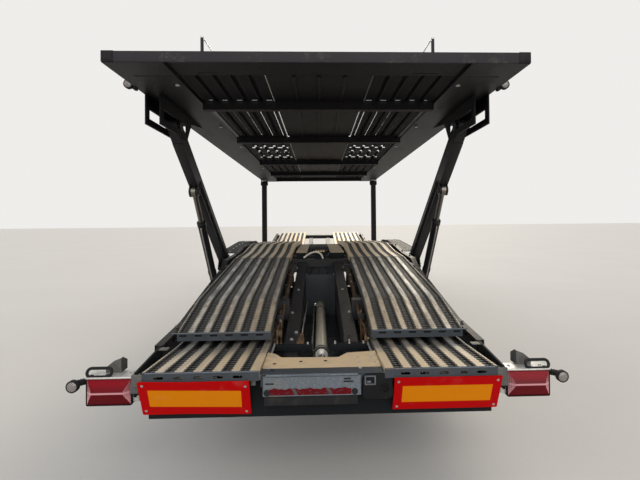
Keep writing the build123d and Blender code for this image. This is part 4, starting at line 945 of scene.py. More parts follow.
class TRAILER_OT_tail_lamps(bpy.types.Operator):
    """Build the hipped lenses, the lamp cases, their handles and flaps, and the round marker lamps"""

    bl_idname = "trailer.tail_lamps"
    bl_label = "Tail lamps"

    def execute(self, context):
        border, hollow = rounded_outline(0.1235, 0.0755, 0.01), rounded_outline(0.1165, 0.0685, 0.006)
        near, far = LAMP_MIDDLE - 0.125, LAMP_MIDDLE + 0.125
        cheek = np.array([(0, 0, 0), (0, 0.085, 0), (0, 0.085, 0.052), (0, 0.022, 0.082), (0, 0, 0.078)])
        tongue = np.array([(0, 0, 0), (0.085, 0, 0), (0.085, 0, 0.030), (0.040, 0, 0.066), (0, 0, 0.082)])
        for side, sign in SIDES:
            piece(f"lamp_lens_{side}", lens(sign), TAIL, "lens", sharp=12)
            skin = Skin().flat_rings(at(sign * LAMP_MIDDLE, LENS_BACK, LAMP_HEIGHT), (
                (border, 0.012), (border, -0.004), (border * 0.99, -0.006), (hollow, -0.006),
                (hollow, 0.012)), closed=True)
            piece(f"lamp_frame_{side}", skin, TAIL, "plastic")
            case = Skin().boxes((
                (near, far, 0.176, 0.30, 0.646, 0.656), (near, far, 0.296, 0.304, 0.52, 0.652),
                (1.00, 1.034, 0.20, 0.225, 0.515, 0.66), (0.925, 1.034, 0.19, 0.30, 0.612, 0.622)), sign)
            piece(f"lamp_case_{side}", case, TAIL, "zinc")
            foot = at(sign * 1.118, 0.262, 0.655)
            flap = Skin().sheet(foot + cheek, 0.004, (sign, 0, 0))
            flap.sheet(foot + tongue * (sign, 1, 1), 0.004, BACKWARD)
            piece(f"lamp_flap_{side}", flap, TAIL, "dull_zinc")
        handles, markers, lenses = Skin(), Skin(), Skin()
        lean, loop, ring = math.radians(24), rounded_outline(0.066, 0.023, 0.0225, 8), circle(10) * 0.0085
        away = np.array((0, math.cos(lean), -math.sin(lean)))
        for _, sign in SIDES:
            path = at(sign * HANDLE_X, 0.200, 0.676) + np.stack(
                [loop[:, 0], loop[:, 1] * math.sin(lean), loop[:, 1] * math.cos(lean)], -1)
            normal = np.cross(unit(np.roll(path, -1, 0) - np.roll(path, 1, 0)), away)
            handles.grid(path[:, None] + normal[:, None] * ring[:, :1] + away * ring[:, 1:], True, True)
            middles = [sign * HANDLE_X + x for x in (-0.042, 0.042)]
            handles.boxes([(x - 0.009, x + 0.009, 0.186, 0.210, 0.646, 0.664) for x in middles])
            centre = at(sign * MARKER_X, 0.15, MARKER_HEIGHT)
            markers.turned([(0.012, 0.0), (0.026, -0.002), (0.0325, -0.010), (0.0325, -0.034),
                            (0.030, -0.038), (0.026, -0.038), (0.025, -0.030)], centre, FORWARD, 28)
            stem = model([(MARKER_X, 0.148, MARKER_HEIGHT), (1.314, 0.176, MARKER_HEIGHT),
                          (1.296, 0.20, MARKER_HEIGHT), (1.272, 0.208, MARKER_HEIGHT)], sign)
            markers.tube(smooth_path(stem, 14), [0.018, 0.019, *[0.0155, 0.019] * 5, 0.018, 0.018], 14)
            lenses.turned([(0.0255, -0.030), (0.0255, -0.036), (0.018, -0.0395), (0.0, -0.0405)], centre,
                          FORWARD)
        piece("lamp_handle_loops", handles, TAIL, "rubber", ("lamp_handles",))
        piece("marker_lamp_bodies", markers, TAIL, "rubber", ("marker_lamps",))
        piece("marker_lamp_lenses", lenses, TAIL, "marker_lens")
        places = [at(sign * (LAMP_MIDDLE + dx), 0.24, 0.656) for _, sign in SIDES for dx in (-0.09, 0.09)]
        screws = Skin().copies(bolt(context.scene.trailer_sizes.bolt_size * 0.7), places)
        piece("lamp_screws", screws, TAIL, "bolt")
        return {"FINISHED"}


class TRAILER_OT_marking_plates(bpy.types.Operator):
    """Build the two reflective marking plates with their screws"""

    bl_idname = "trailer.marking_plates"
    bl_label = "Marking plates"

    def execute(self, context):
        down = np.array((0, math.sin(PLATE_TILT), -math.cos(PLATE_TILT)))
        out = np.array((0, -math.cos(PLATE_TILT), -math.sin(PLATE_TILT)))
        half_u, half_v, lift = PLATE_WIDTH / 2, PLATE_HEIGHT / 2, 0.0022
        border = rounded_outline(half_u, half_v, 0.008)
        window = rounded_outline(half_u - 0.045, half_v - 0.052, 0.002)
        corners = np.array([(a, b) for a in (-1, 1) for b in (-1, 1)]) * (half_u - 0.022, half_v - 0.022)
        head = [(0.0075, 0), (0.0072, 0.0022), (0.004, 0.0036), (0.0, 0.0038)]
        head = Skin().turned(head, (0, 0, 0), UP, 12)
        for side, sign in SIDES:
            middle = at(sign * (PLATE_INNER + half_u), 0, PLATE_TOP) + down * PLATE_HEIGHT / 2
            lean = np.array(Matrix.Rotation(LEFT_PLATE_LEAN if sign < 0 else 0.0, 3, "Y"))

            def flat(outline, height):
                """Outline laid in the leaning plane of the plate and lifted along its normal."""
                return (middle + outline[:, :1] * (lean @ np.array((1.0, 0, 0)))
                        + outline[:, 1:] * (lean @ down) + out * height)

            red = Skin().rings([flat(border, -0.004), flat(border, lift - 0.0008),
                                flat(border * 0.998, lift)])
            piece(f"plate_border_{side}", red, TAIL, "plate_red")
            amber = Skin().rings([flat(window, 0.001), flat(window, lift + 0.0005),
                                  flat(window * 0.999, lift + 0.0008)])
            piece(f"plate_centre_{side}", amber, TAIL, "plate_amber")
            screws = Skin().copies(head, flat(corners, lift), facing(out))
            piece(f"plate_screws_{side}", screws, TAIL, "bolt")
        return {"FINISHED"}


class TRAILER_OT_tail_panel(bpy.types.Operator):
    """Build what the tail carries: the cover's bolts and fold, the taped plate, the sockets and bumpers"""

    bl_idname = "trailer.tail_panel"
    bl_label = "Tail panel"

    def execute(self, context):
        spots = [at(x, s, COVER_TOP) for x, s in (
            (0.205, 0.30), (0.288, 0.30), (0.205, 0.20), (0.288, 0.20), (0.205, 0.10), (-0.285, 0.12),
            (-0.285, 0.33))]
        bolts = Skin().copies(bolt(context.scene.trailer_sizes.bolt_size * 0.75, 0.35), spots)
        piece("cover_bolts", bolts, TAIL, "bolt")
        rims = Skin()
        for x, s in ((-0.262, 0.20), (-0.118, 0.235), (-0.262, 0.085), (0.02, 0.24)):
            rims.turned([(0.010, 0.0), (0.010, 0.0015), (0.007, 0.0015), (0.007, 0.0003)],
                        at(x, s, COVER_TOP), UP, 16)
        piece("cover_holes", rims, TAIL, "rubber")
        fold = Skin().tube(at(np.linspace(-0.318, 0.318, 40), 0.030, 0.7005), 0.0042)
        for sign in (-1, 1):
            fold.tube(at(sign * 0.318, np.array((0.034, 0.23, 0.425)), 0.7048), 0.0035)
        piece("cover_fold", fold, TAIL, "cover")

        foot, head = np.array((y_at(0.012), TAPE_LOW)), np.array((y_at(0.020), TAPE_HIGH))
        x = np.linspace(-0.272, 0.150, 60)
        wave = 0.003 * np.sin(x * 71) + 0.002 * np.sin(x * 173)

        def on_plate(up):
            """Line across the plate at a share of its height."""
            spot = foot + (head - foot) * up
            return np.stack([x, np.full_like(x, spot[0] - 0.0022), np.full_like(x, spot[1])], -1)

        low, high = on_plate(0.05), on_plate(0.36)
        high[:, 2] += wave
        tape = Skin().grid(np.stack([low, high, high + (0, 0.002, 0), low + (0, 0.002, 0)], 1), across=True)
        piece("worn_tape", tape, TAIL, "tape")
        slits = Skin().boxes([(x0, x1, 0.0135, 0.023, z, z + 0.0065) for x0, x1, z in (
            (-0.294, -0.250, 0.652), (0.112, 0.148, 0.672), (0.110, 0.160, 0.658))], edge=0.001)
        piece("plate_slits", slits, TAIL, "rubber")
        buffers = Skin()
        for x in (-0.285, 0.168):
            buffers.turned([(0.016, 0), (0.016, 0.010), (0.013, 0.013), (0, 0.013)], at(x, 0.018, 0.611),
                           BACKWARD, 20)
        buffers.boxes([(-0.302, 0.184, 0.028, 0.121, 0.538, 0.592)], edge=0.004)
        piece("plate_buffers", buffers, TAIL, "rubber")
        stiff = Skin().tube(at(np.linspace(-0.30, 0.195, 30), 0.0155, TAPE_LOW + 0.002), 0.004)
        for x in (-0.302, 0.197):
            path = model([(x, 0.0165, TAPE_LOW + 0.003), (x, 0.019, 0.643), (x, 0.0235, TAPE_HIGH - 0.002)])
            stiff.tube(path, 0.0045, 8, RIGHT)
        crease = np.linspace(-0.20, 0.03, 20)
        stiff.tube(at(crease, 0.0125, TAPE_HIGH + 0.004 + 0.006 * np.cos(crease * 9)), 0.0035)
        piece("plate_rims", stiff, TAIL, "panel")

        outline = rounded_outline(0.081, 0.067, 0.030)
        panel = Skin().flat_rings(at(0.287, 0.030, 0.630), [
            (outline * (1 - shrink / 0.07), shift)
            for shrink, shift in ((0.0, 0.034), (0.0, -0.003), (0.004, -0.008), (0.010, -0.009))])
        panel.turned([(0.021, 0), (0.021, 0.014), (0.017, 0.014), (0.016, 0.004), (0.006, 0.004),
                      (0.005, 0.009), (0, 0.009)], at(0.326, 0.0225, 0.622), BACKWARD)
        piece("socket_box", panel, TAIL, "plastic")
        border, hollow = rounded_outline(0.029, 0.024, 0.004), rounded_outline(0.022, 0.0175, 0.002)
        square = Skin().flat_rings(at(0.249, 0.0205, 0.664), (
            (border, 0.002), (border, -0.006), (hollow, -0.006), (hollow, 0.002)), closed=True)
        square.boxes([(0.232, 0.252, 0.0165, 0.0215, 0.649, 0.661)], edge=0.001)
        piece("square_socket", square, TAIL, "nose")

        ends, shelf = Skin(), Skin()
        for _, sign in SIDES:
            ends.boxes([(x0, x1, s, s + 0.02, z0, z1) for x0, x1, s, z0, z1 in (
                (0.318, 0.345, 0.028, 0.672, COVER_TOP), (0.345, 0.372, 0.042, 0.64, 0.702))], sign)
            curve = smooth_path(model([(0.915, 0.016, 0.716), (0.955, 0.028, 0.712), (0.985, 0.062, 0.700),
                                       (0.995, 0.12, 0.69)], sign), 16)
            ends.sweep(rounded_outline(0.004, 0.030, 0.003), curve - (0, 0, 0.030))
            ends.boxes([(0.955, 0.999, 0.07, 0.20, 0.60, 0.655)], sign, 0.006)
            ends.boxes([(0.94, 0.995, 0.50, 0.56, 0.709, 0.715)], sign, 0.002)
            shelf.boxes([(0.55, 0.80, 0.075, 0.118, 0.668, 0.680), *[
                (x, x + 0.022, 0.03, 0.118, 0.668, 0.678) for x in (0.47, 0.86)]], sign, 0.002)
        piece("tail_corners", ends, TAIL, "dull_zinc")
        piece("plate_shelf", shelf, TAIL, "zinc")
        return {"FINISHED"}


class TRAILER_OT_well(bpy.types.Operator):
    """Build the gear in the centre well: cylinder fittings, lock strut, pipes, gusset, walls and hoses"""

    bl_idname = "trailer.well"
    bl_label = "Centre well"

    def execute(self, context):
        sizes = context.scene.trailer_sizes
        gland = Skin().turned([
            (0.0255, 0), (0.050, 0), (0.0525, 0.003), (0.0525, 0.018), (0.049, 0.021), (0.049, 0.028),
            (0.0535, 0.031), (0.0535, 0.052), (0.050, 0.056), (0.043, 0.060), (0.043, 0.075)],
            at(0, 0.738, BARREL_HEIGHT), FORWARD, 36)
        gland.turned([(0.0425, 0), (0.0455, 0.002), (0.0455, 0.020), (0.0425, 0.022)],
                     at(0, 2.3, BARREL_HEIGHT), FORWARD, 28)
        piece("cylinder_collars", gland, CHASSIS, "cast")
        ring = Skin().turned([(0.030, 0.0), (0.041, 0.0), (0.041, 0.003), (0.030, 0.003)],
                             at(0, 0.7352, BARREL_HEIGHT), FORWARD, 32)
        piece("gland_ring", ring, CHASSIS, "bolt")
        pipe = model([(-0.052, 0.80, 0.598), (-0.064, 0.86, 0.612), (-0.066, 1.1, 0.614),
                      (-0.066, 1.9, 0.614), (-0.066, 2.5, 0.614), (-0.05, 2.56, 0.63)])
        piece("feed_pipe", Skin().tube(smooth_path(pipe, 60), 0.0075, 10), CHASSIS, "chrome")
        low, high = model([(-0.140, 0.86, 0.684), (-0.128, 2.2, 0.706)])
        strut = Skin().tube(low + (high - low) * np.linspace(0, 1, 30)[:, None], 0.0085, 12)
        piece("lock_strut", strut, CHASSIS, "chrome")
        clamp = Skin().turned([(0.010, -0.15), (0.022, -0.148), (0.025, -0.12), (0.025, -0.03),
                               (0.020, -0.022), (0.020, 0.0), (0.016, 0.012), (0.009, 0.018)],
                              low, high - low)
        clamp.turned([(0.009, 0), (0.017, 0.001), (0.017, 0.016), (0.009, 0.018)], low + (high - low) * 0.04,
                     high - low, 18)
        clamp.boxes([(-0.168, -0.142, 0.735, 0.765, 0.62, 0.69)], edge=0.004)
        piece("strut_fitting", clamp, CHASSIS, "rusty")
        cross = Skin().boxes([(x0, x1, 0.664, 0.698, 0.6455, 0.687) for x0, x1 in (
            (-0.300, -0.058), (0.058, 0.300))], edge=0.004)
        piece("near_crossbar", cross, CHASSIS, "frame")
        gusset = Skin().sheet([at(x, s, height_on(RAIL_LINE, s) + 0.0065) for x, s in (
            (0.150, 0.70), (0.238, 0.70), (0.240, 0.76), (0.188, 0.93), (0.168, 0.93), (0.150, 0.78))],
            0.007, UP)
        gusset.turned([(0.014, 0), (0.014, 0.003), (0.009, 0.003), (0.009, 0.0002)],
                      at(0.186, 0.80, height_on(RAIL_LINE, 0.80) + 0.0135), UP, 18)
        piece("rail_gusset", gusset, CHASSIS, "well")
        floor = Skin().boxes([(-WELL_HALF, WELL_HALF, s, s + 0.012, WELL_FLOOR, 0.506)
                              for s in (0.80, 1.05, 1.65, 2.25)], edge=0.002)
        floor.boxes([(x - 0.004, x + 0.004, 0.77, WELL_END, WELL_FLOOR, 0.512)
                     for x in (-0.148, 0.148)], edge=0.002)
        piece("floor_seams", floor, CHASSIS, "well")
        walls = Skin()
        for _, sign in SIDES:
            corners = ((0.79, 0.502), (WELL_END, 0.502), (WELL_END, height_on(RAIL_LINE, WELL_END) - 0.10),
                       (0.79, height_on(RAIL_LINE, 0.79) - 0.10))
            walls.sheet([at(sign * 0.1505, s, z) for s, z in corners], 0.003, (sign, 0, 0))
            walls.boxes([(0.143, 0.1505, 0.80, 2.57, 0.535, 0.545)], sign, 0.002)
        piece("well_walls", walls, CHASSIS, "well")
        head = bolt(sizes.bolt_size * 1.1)
        hardware = Skin().copies(head, [at(x, 0.73, 0.5455) for x in (-0.125, -0.085, 0.085, 0.128)])
        hardware.copies(head, [at(sign * x, s, height_on(RAIL_LINE, s)) for _, sign in SIDES
                               for x, s in ((0.2, 0.78), (0.175, 0.90), (0.225, 1.3), (0.2, 1.9))])
        piece("well_bolts", hardware, CHASSIS, "bolt")
        fittings = Skin()
        for x, tall in ((0.089, 0.018), (0.182, 0.026), (0.275, 0.016), (-0.09, 0.014)):
            fittings.turned([(0.007, -0.002), (0.007, 0.006), (0.004, 0.008), (0.004, tall - 0.005),
                             (0.006, tall - 0.004), (0.006, tall), (0, tall)], at(x, 0.681, 0.687), UP, 12)
        piece("well_nipples", fittings, CHASSIS, "zinc")
        bundle = Skin()
        for k, (x, z) in enumerate(((0.292, 0.0), (0.305, -0.016), (0.286, -0.040), (0.300, -0.062))):
            s = np.linspace(0.70 + 0.05 * k, 3.0, 22)
            loose = np.exp(-(s - 0.7) * 2.2)
            sag = (0.008 + 0.022 * loose) * np.sin(np.arange(22) * (1.3 + 0.4 * k) + k * 2)
            aside = x + (0.004 + 0.010 * loose) * np.sin(s * 9 + k * 2)
            for _, sign in SIDES:
                path = at(sign * aside, s, height_on(LOWER_LINE, s) - 0.082 + z - 0.03 * loose + sag)
                bundle.tube(smooth_path(path, 90), sizes.hose_radius)
        piece("side_hoses", bundle, CHASSIS, "dry_hose")
        hoses = Skin()
        for k, x in enumerate((-0.145, -0.02, 0.12)):
            path = model([(x, 2.72, 0.60 + 0.03 * k), (x + 0.02, 2.85, 0.68), (x - 0.02, 2.98, 0.80),
                          (x * 0.6, 3.04, 0.93), (x * 0.5, 3.2, 1.00)])
            hoses.tube(smooth_path(path, 36), sizes.hose_radius)
        piece("well_hoses", hoses, CHASSIS, "hose")
        clips = Skin()
        for _, sign in SIDES:
            for s in np.arange(1.05, 2.9, 0.42):
                z = height_on(LOWER_LINE, s)
                clips.boxes([(0.276, 0.320, s, s + 0.010, z - 0.16, z - 0.062)], sign)
        piece("hose_clips", clips, CHASSIS, "well")
        return {"FINISHED"}


class TRAILER_OT_valves(bpy.types.Operator):
    """Build the valve gear between the rails: valve bodies, levers, hoses and a pressure line"""

    bl_idname = "trailer.valves"
    bl_label = "Valve gear"

    def execute(self, context):
        blocks, caps, levers = Skin(), Skin(), Skin()
        for i, x in enumerate((-0.042, -0.014, 0.014, 0.042)):
            knob = x + 0.004 * i
            blocks.boxes([(x - 0.012, x + 0.012, 3.075, 3.145, 1.128, 1.152)])
            caps.turned([(0.009, 0), (0.009, 0.012), (0.006, 0.016), (0, 0.016)], at(x, 3.075, 1.14),
                        BACKWARD, 12)
            levers.tube(model([(x, 3.12, 1.150), (x, 3.125, 1.168), (knob, 3.13, 1.188)]), 0.0035, 8, RIGHT)
            levers.turned([(0, -0.007), (0.006, -0.004), (0.007, 0), (0.006, 0.004), (0, 0.007)],
                          at(knob, 3.13, 1.190), UP, 10)
        piece("valve_bodies", blocks, CHASSIS, "dull_zinc")
        piece("valve_caps", caps, CHASSIS, "brass")
        piece("valve_levers", levers, CHASSIS, "rubber")
        hoses = Skin()
        ends = ((-0.11, -0.13), (-0.07, -0.09), (-0.03, -0.045), (0.01, 0.02), (0.05, 0.07), (0.09, 0.12))
        for i, (a, b) in enumerate(ends):
            path = model([(a * 0.4, 3.15, 1.138), (a * 0.7, 3.25, 1.165 - 0.006 * i), (a, 3.42, 1.128),
                          (b, 3.7, 1.075), (b, 4.1, 1.06), (b, 4.6, 1.05)])
            hoses.tube(smooth_path(path, 60), context.scene.trailer_sizes.hose_radius * 0.85)
        piece("valve_hoses", hoses, CHASSIS, "hose")
        line = model([(-0.187, 3.03, 1.069), (-0.117, 3.05, 1.115), (-0.047, 3.055, 1.133),
                      (0.011, 3.05, 1.106), (0.034, 3.04, 1.055)])
        piece("pale_line", Skin().tube(smooth_path(line, 44), 0.010, 10), CHASSIS, "pale")
        saddles, cheeks = Skin(), Skin()
        top = np.array([(3.2, 1.118), (3.8, 1.124), (4.4, 1.126), (5.0, 1.122), (5.45, 1.10)])
        for x0, x1 in ((-0.283, -0.153), (0.118, 0.283)):
            saddles.sweep(rounded_outline((x1 - x0) / 2, 0.004, 0.003), at((x0 + x1) / 2, *top.T))
            cheeks.boxes([(x0 + 0.006, x1 - 0.006, 3.205, 3.225, 1.02, 1.116)])
            cheeks.boxes([(x, x + 0.006, 3.21, 5.44, 1.04, 1.10)
                          for x in (x0 + 0.004, x1 - 0.010)], edge=0.002)
        piece("rail_saddles", saddles, CHASSIS, "saddle")
        piece("saddle_sides", cheeks, CHASSIS, "frame")
        return {"FINISHED"}


class TRAILER_OT_wheels(bpy.types.Operator):
    """Build the twin tyres with tread and beads, and the dished rims with their nuts and hubs"""

    bl_idname = "trailer.wheels"
    bl_label = "Wheels"

    def execute(self, context):
        for name, station in AXLES:
            for side, sign in SIDES:
                wheel = f"{name}_{side}"
                body = f"wheel_{wheel}"
                for place, x in (("inner", INNER_TYRE), ("outer", OUTER_TYRE)):
                    piece(f"tyre_{wheel}_{place}", tyre(sign * x, station), body, "tyre",
                          (f"tyres_{wheel}",))
                disc, nuts, holes = rim(station, sign)
                piece(f"rim_{wheel}", disc, body, "rim", (f"rims_{wheel}",))
                piece(f"nuts_{wheel}", nuts, body, "bolt")
                piece(f"rim_holes_{wheel}", holes, body, "rubber")
        return {"FINISHED"}


class TRAILER_OT_running_gear(bpy.types.Operator):
    """Build the air spring bellows, the brake chambers, and the towing eye's bushes and bolts"""

    bl_idname = "trailer.running_gear"
    bl_label = "Running gear"

    def execute(self, context):
        bellows, brakes, bush = Skin(), Skin(), Skin()
        for _, station in AXLES:
            for _, sign in SIDES:
                bellows.turned([
                    (0.09, 0.0), (0.118, 0.004), (0.132, 0.03), (0.136, 0.075), (0.132, 0.12), (0.126, 0.145),
                    (0.132, 0.17), (0.137, 0.22), (0.132, 0.275), (0.118, 0.30), (0.09, 0.305)],
                    at(sign * 0.52, station - 0.33, 0.545), UP, 32)
                brakes.turned([
                    (0, 0), (0.045, 0.0), (0.07, 0.012), (0.078, 0.04), (0.07, 0.075), (0.084, 0.08),
                    (0.084, 0.095), (0.07, 0.10), (0.078, 0.135), (0.07, 0.165), (0, 0.17)],
                    at(sign * 0.34, station - 0.10, 0.50), BACKWARD)
        piece("air_bellows", bellows, CHASSIS, "rubber")
        piece("brake_chambers", brakes, CHASSIS, "axle")
        for way in (-1, 1):
            bush.turned([(r, way * z) for r, z in (
                (0.0255, 0.0235), (0.034, 0.0235), (0.036, 0.0225), (0.036, 0.020), (0.0255, 0.020))],
                at(0, 10.845, 0.41), UP, 36)
        piece("eye_bushes", bush, CHASSIS, "bolt")
        places = [at(x, 10.700, z) for x in (-0.042, 0.042) for z in (0.368, 0.452)]
        piece("eye_bolts", Skin().copies(bolt(0.03), places, facing(BACKWARD)), CHASSIS, "bolt")
        return {"FINISHED"}


class TRAILER_OT_lift_gear(bpy.types.Operator):
    """Build the arm flanges, pin caps, cylinder glands and the hoses along the lifting gear"""

    bl_idname = "trailer.lift_gear"
    bl_label = "Lifting gear"

    def execute(self, context):
        sizes = context.scene.trailer_sizes
        for side, sign in SIDES:
            flanges, pins, gland, hose, feet = Skin(), Skin(), Skin(), Skin(), Skin()
            for edge in (0.076, -0.076):
                line = np.linspace(arm_point(0.10, edge), arm_point(2.25, edge * 0.86), 24)
                flanges.sweep(rounded_outline(0.042, 0.0065, 0.003), at(sign * ARM_MIDDLE, *line.T),
                              (0, 0.5, 1))
            for along in (0.35, 0.95, 1.98):
                flanges.turned([(0.018, -0.0425), (0.026, -0.041), (0.026, 0.041), (0.018, 0.0425)],
                               at(sign * ARM_MIDDLE, *arm_point(along, 0.0)), (sign, 0, 0), 20)
            piece(f"arm_flanges_{side}", flanges, f"arm_{side}", "arm")
            for spot, radius, proud in ((ARM_HEAD, 0.038, 0.016), (CYLINDER_EYE, 0.030, 0.0)):
                for out in (1, -1):
                    x = ARM_MIDDLE + out * 0.0395 + out * proud
                    pins.turned([(0, 0.0), (radius, 0.0), (radius, 0.006), (radius * 0.8, 0.009), (0, 0.009)],
                                at(sign * x, *spot), (sign * out, 0, 0))
            piece(f"arm_pin_caps_{side}", pins, f"arm_{side}", "cast")
            axis = unit(np.array((0, *(CYLINDER_EYE - CYLINDER_FOOT))))
            foot = at(sign * ARM_MIDDLE, *CYLINDER_FOOT)
            for segments, *profile in (
                (30, (0.0245, 1.062), (0.036, 1.062), (0.0435, 1.056), (0.0435, 1.010), (0.0405, 1.006)),
                (26, (0.0405, 0.30), (0.0445, 0.303), (0.0445, 0.345), (0.0405, 0.348)),
                (26, (0.0405, 0.06), (0.043, 0.062), (0.043, 0.10), (0.0405, 0.102)),
            ):
                gland.turned(profile, foot, axis, segments)
            piece(f"cylinder_gland_{side}", gland, f"barrel_{side}", "arm")
            back = np.array((0, axis[2], -axis[1])) * -0.055
            path = [foot + axis * along + back * off for along, off in (
                (0.16, 0.8), (0.22, 1), (0.6, 1), (0.95, 1), (1.02, 0.78))]
            pipe = Skin().tube(smooth_path(path, 40), 0.006, 8, RIGHT)
            piece(f"cylinder_pipe_{side}", pipe, f"barrel_{side}", "bolt")
            for k, across in enumerate((0.010, 0.034)):
                run = np.array([arm_point(a, across + 0.006 * math.sin(3 * a + k)) for a in
                                (0.14, 0.4, 0.8, 1.15, 1.4, 1.62)])
                path = at(sign * (ARM_MIDDLE - 0.049), *run.T)
                hose.tube(smooth_path(path, 60), sizes.hose_radius * 0.8, 8, RIGHT)
            piece(f"arm_hoses_{side}", hose, f"arm_{side}", "hose")
            for out, x in ((-1, 1.122), (1, 1.233)):
                for dy in (-0.07, 0.07):
                    feet.copies(bolt(sizes.bolt_size * 1.2), [at(sign * x, ARM_FOOT[0] + dy, 0.955)],
                                facing((sign * out, 0, 0)))
            feet.turned([(0, 0), (0.036, 0), (0.036, 0.007), (0.028, 0.010), (0, 0.010)],
                        at(sign * 1.2325, *ARM_FOOT), (sign, 0, 0))
            piece(f"foot_bolts_{side}", feet, CHASSIS, "bolt")
        return {"FINISHED"}


class TRAILER_OT_deck_edges(bpy.types.Operator):
    """Build the deck's end boxes, lip, stiffeners, round lamps and the rope fittings"""

    bl_idname = "trailer.deck_edges"
    bl_label = "Deck edges"

    def execute(self, context):
        ends, under, seams, rivets, lamps, glass, knobs, hinge = (Skin() for _ in range(8))
        bays = ((0.58, 1.22), (1.30, 2.76), (2.84, 4.76), (4.84, 6.46), (6.54, 7.66))
        for x in (-0.165, 0.0, 0.165):
            for a, b in bays:
                z0, z1 = height_on(DECK_LINE, a), height_on(DECK_LINE, b)
                under.sweep(rounded_outline(0.012, 0.004, 0.002), model([
                    (x, a, z0 + 0.017), (x, (a + b) / 2, (z0 + z1) / 2 + 0.017), (x, b, z1 + 0.017)]))
        for _, sign in SIDES:
            ends.boxes([(1.165, 1.236, 0.262, 0.30, 2.402, 2.467)], sign, 0.004, 1)
            ends.boxes([(1.172, 1.229, 0.259, 0.266, 2.41, 2.458)], sign, 0.003, 1)
            for x0, x1, a, b in ((0.3235, 0.3425, 0.585, 1.24), (0.3235, 0.338, 1.34, 2.72),
                                 (0.866, 0.8945, 0.585, 1.24), (0.866, 0.8945, 2.84, 8.15),
                                 (0.3235, 0.341, 2.84, 8.15)):
                s = np.array((a, (a + b) / 2, b))
                seams.sweep(rounded_outline((x1 - x0) / 2, 0.0025, 0.002),
                            at(sign * (x0 + x1) / 2, s, height_on(DECK_LINE, s) + 0.0235))
            for s in (0.70, 2.1, 3.3, 5.6, 7.1):
                rivets.turned([(0.010, 0), (0.016, 0.002), (0.016, 0.010), (0.010, 0.012)],
                              at(sign * 0.93, s, height_on(DECK_LINE, s)), DOWN, 14)
            centre = at(sign * 1.277, 0.80, 2.42)
            lamps.turned([(0, 0), (0.026, 0.0), (0.0325, -0.008), (0.033, -0.034), (0.030, -0.040),
                          (0.026, -0.040), (0.025, -0.034)], centre, FORWARD, 28)
            stem = model([(1.277, 0.795, 2.42), (1.268, 0.812, 2.41), (1.245, 0.815, 2.405),
                          (1.232, 0.80, 2.405)], sign)
            lamps.tube(smooth_path(stem, 12), 0.011, 10)
            lamps.boxes([(1.232, 1.252, 0.775, 0.825, 2.385, 2.435)], sign)
            glass.turned([(0.0255, -0.034), (0.0255, -0.038), (0.015, -0.0415), (0, -0.0425)], centre,
                         FORWARD)
            for s in POSTS:
                knobs.turned([(0.017, 0), (0.024, 0.0), (0.024, 0.02), (0.018, 0.026)],
                             at(sign * 1.2, s, height_on(DECK_LINE, s) + 0.075), UP, 18)
                knobs.turned([(0.0175, -0.004), (0.0185, 0.0), (0.0172, 0.008), (0.008, 0.0095), (0, 0.0098)],
                             at(sign * 1.2, s, 3.3905), UP, 18)
                for rope in ROPES:
                    knobs.turned([(0.0065, -0.011), (0.011, -0.009), (0.011, 0.009), (0.0065, 0.011)],
                                 at(sign * 1.1767, s, rope), FORWARD, 14)
            for x, out in ((1.106, -1), (1.238, 1)):
                hinge.turned([(0, 0), (0.038, 0), (0.038, 0.006), (0.03, 0.009), (0, 0.009)],
                             at(sign * x, *HINGE), (sign * out, 0, 0))
        lip = Skin().boxes([(-1.166, 1.166, 0.262, 0.271, 2.4005, 2.464)], 1, 0.003, 0)
        piece("deck_end_boxes", ends, DECK, "rubber")
        piece("deck_rear_lip", lip, DECK, "deck_edge")
        piece("infill_stiffeners", under, DECK, "deck_under")
        piece("deck_seams", seams, DECK, "deck_under")
        piece("deck_rivets", rivets, DECK, "bolt")
        piece("deck_lamp_bodies", lamps, DECK, "rubber", ("work_lamps",))
        piece("deck_lamp_lenses", glass, DECK, "marker_lens")
        piece("rope_fittings", knobs, DECK, "bolt")
        piece("hinge_caps", hinge, CHASSIS, "cast")
        return {"FINISHED"}


class TRAILER_OT_side_gear(bpy.types.Operator):
    """Build the side rails' bolts, strap pegs and the side covers' edge trims"""

    bl_idname = "trailer.side_gear"
    bl_label = "Side gear"

    def execute(self, context):
        size = context.scene.trailer_sizes.bolt_size
        trims, heads, pegs = Skin(), Skin(), Skin()
        peg = [(0.009, 0), (0.009, 0.010), (0.013, 0.012), (0.013, 0.018), (0, 0.020)]
        peg = Skin().turned(peg, (0, 0, 0), UP, 12)
        for _, sign in SIDES:
            s = np.linspace(3.645, 6.095, 50)
            for x in (1.054, 1.246):
                trims.tube(at(sign * x, s, height_on(SIDE_COVER_LINE, s) + 0.0005), 0.005)
            s = np.arange(3.75, 6.0, 0.25)
            heads.copies(bolt(size * 0.8), at(sign * 1.15, s, height_on(SIDE_COVER_LINE, s)))
            s = np.arange(0.9, 9.3, 0.6)
            places = at(sign * 1.05, s, height_on(SIDE_LINE, s) - 0.075)
            heads.copies(bolt(size), places, facing((sign, 0, 0)))
            s = np.arange(1.0, 9.3, 0.5)
            pegs.copies(peg, at(sign * 1.025, s, height_on(SIDE_LINE, s) - 0.001))
        piece("cover_trims", trims, CHASSIS, "rubber")
        piece("side_bolts", heads, CHASSIS, "bolt")
        piece("strap_pegs", pegs, CHASSIS, "dull_zinc")
        return {"FINISHED"}


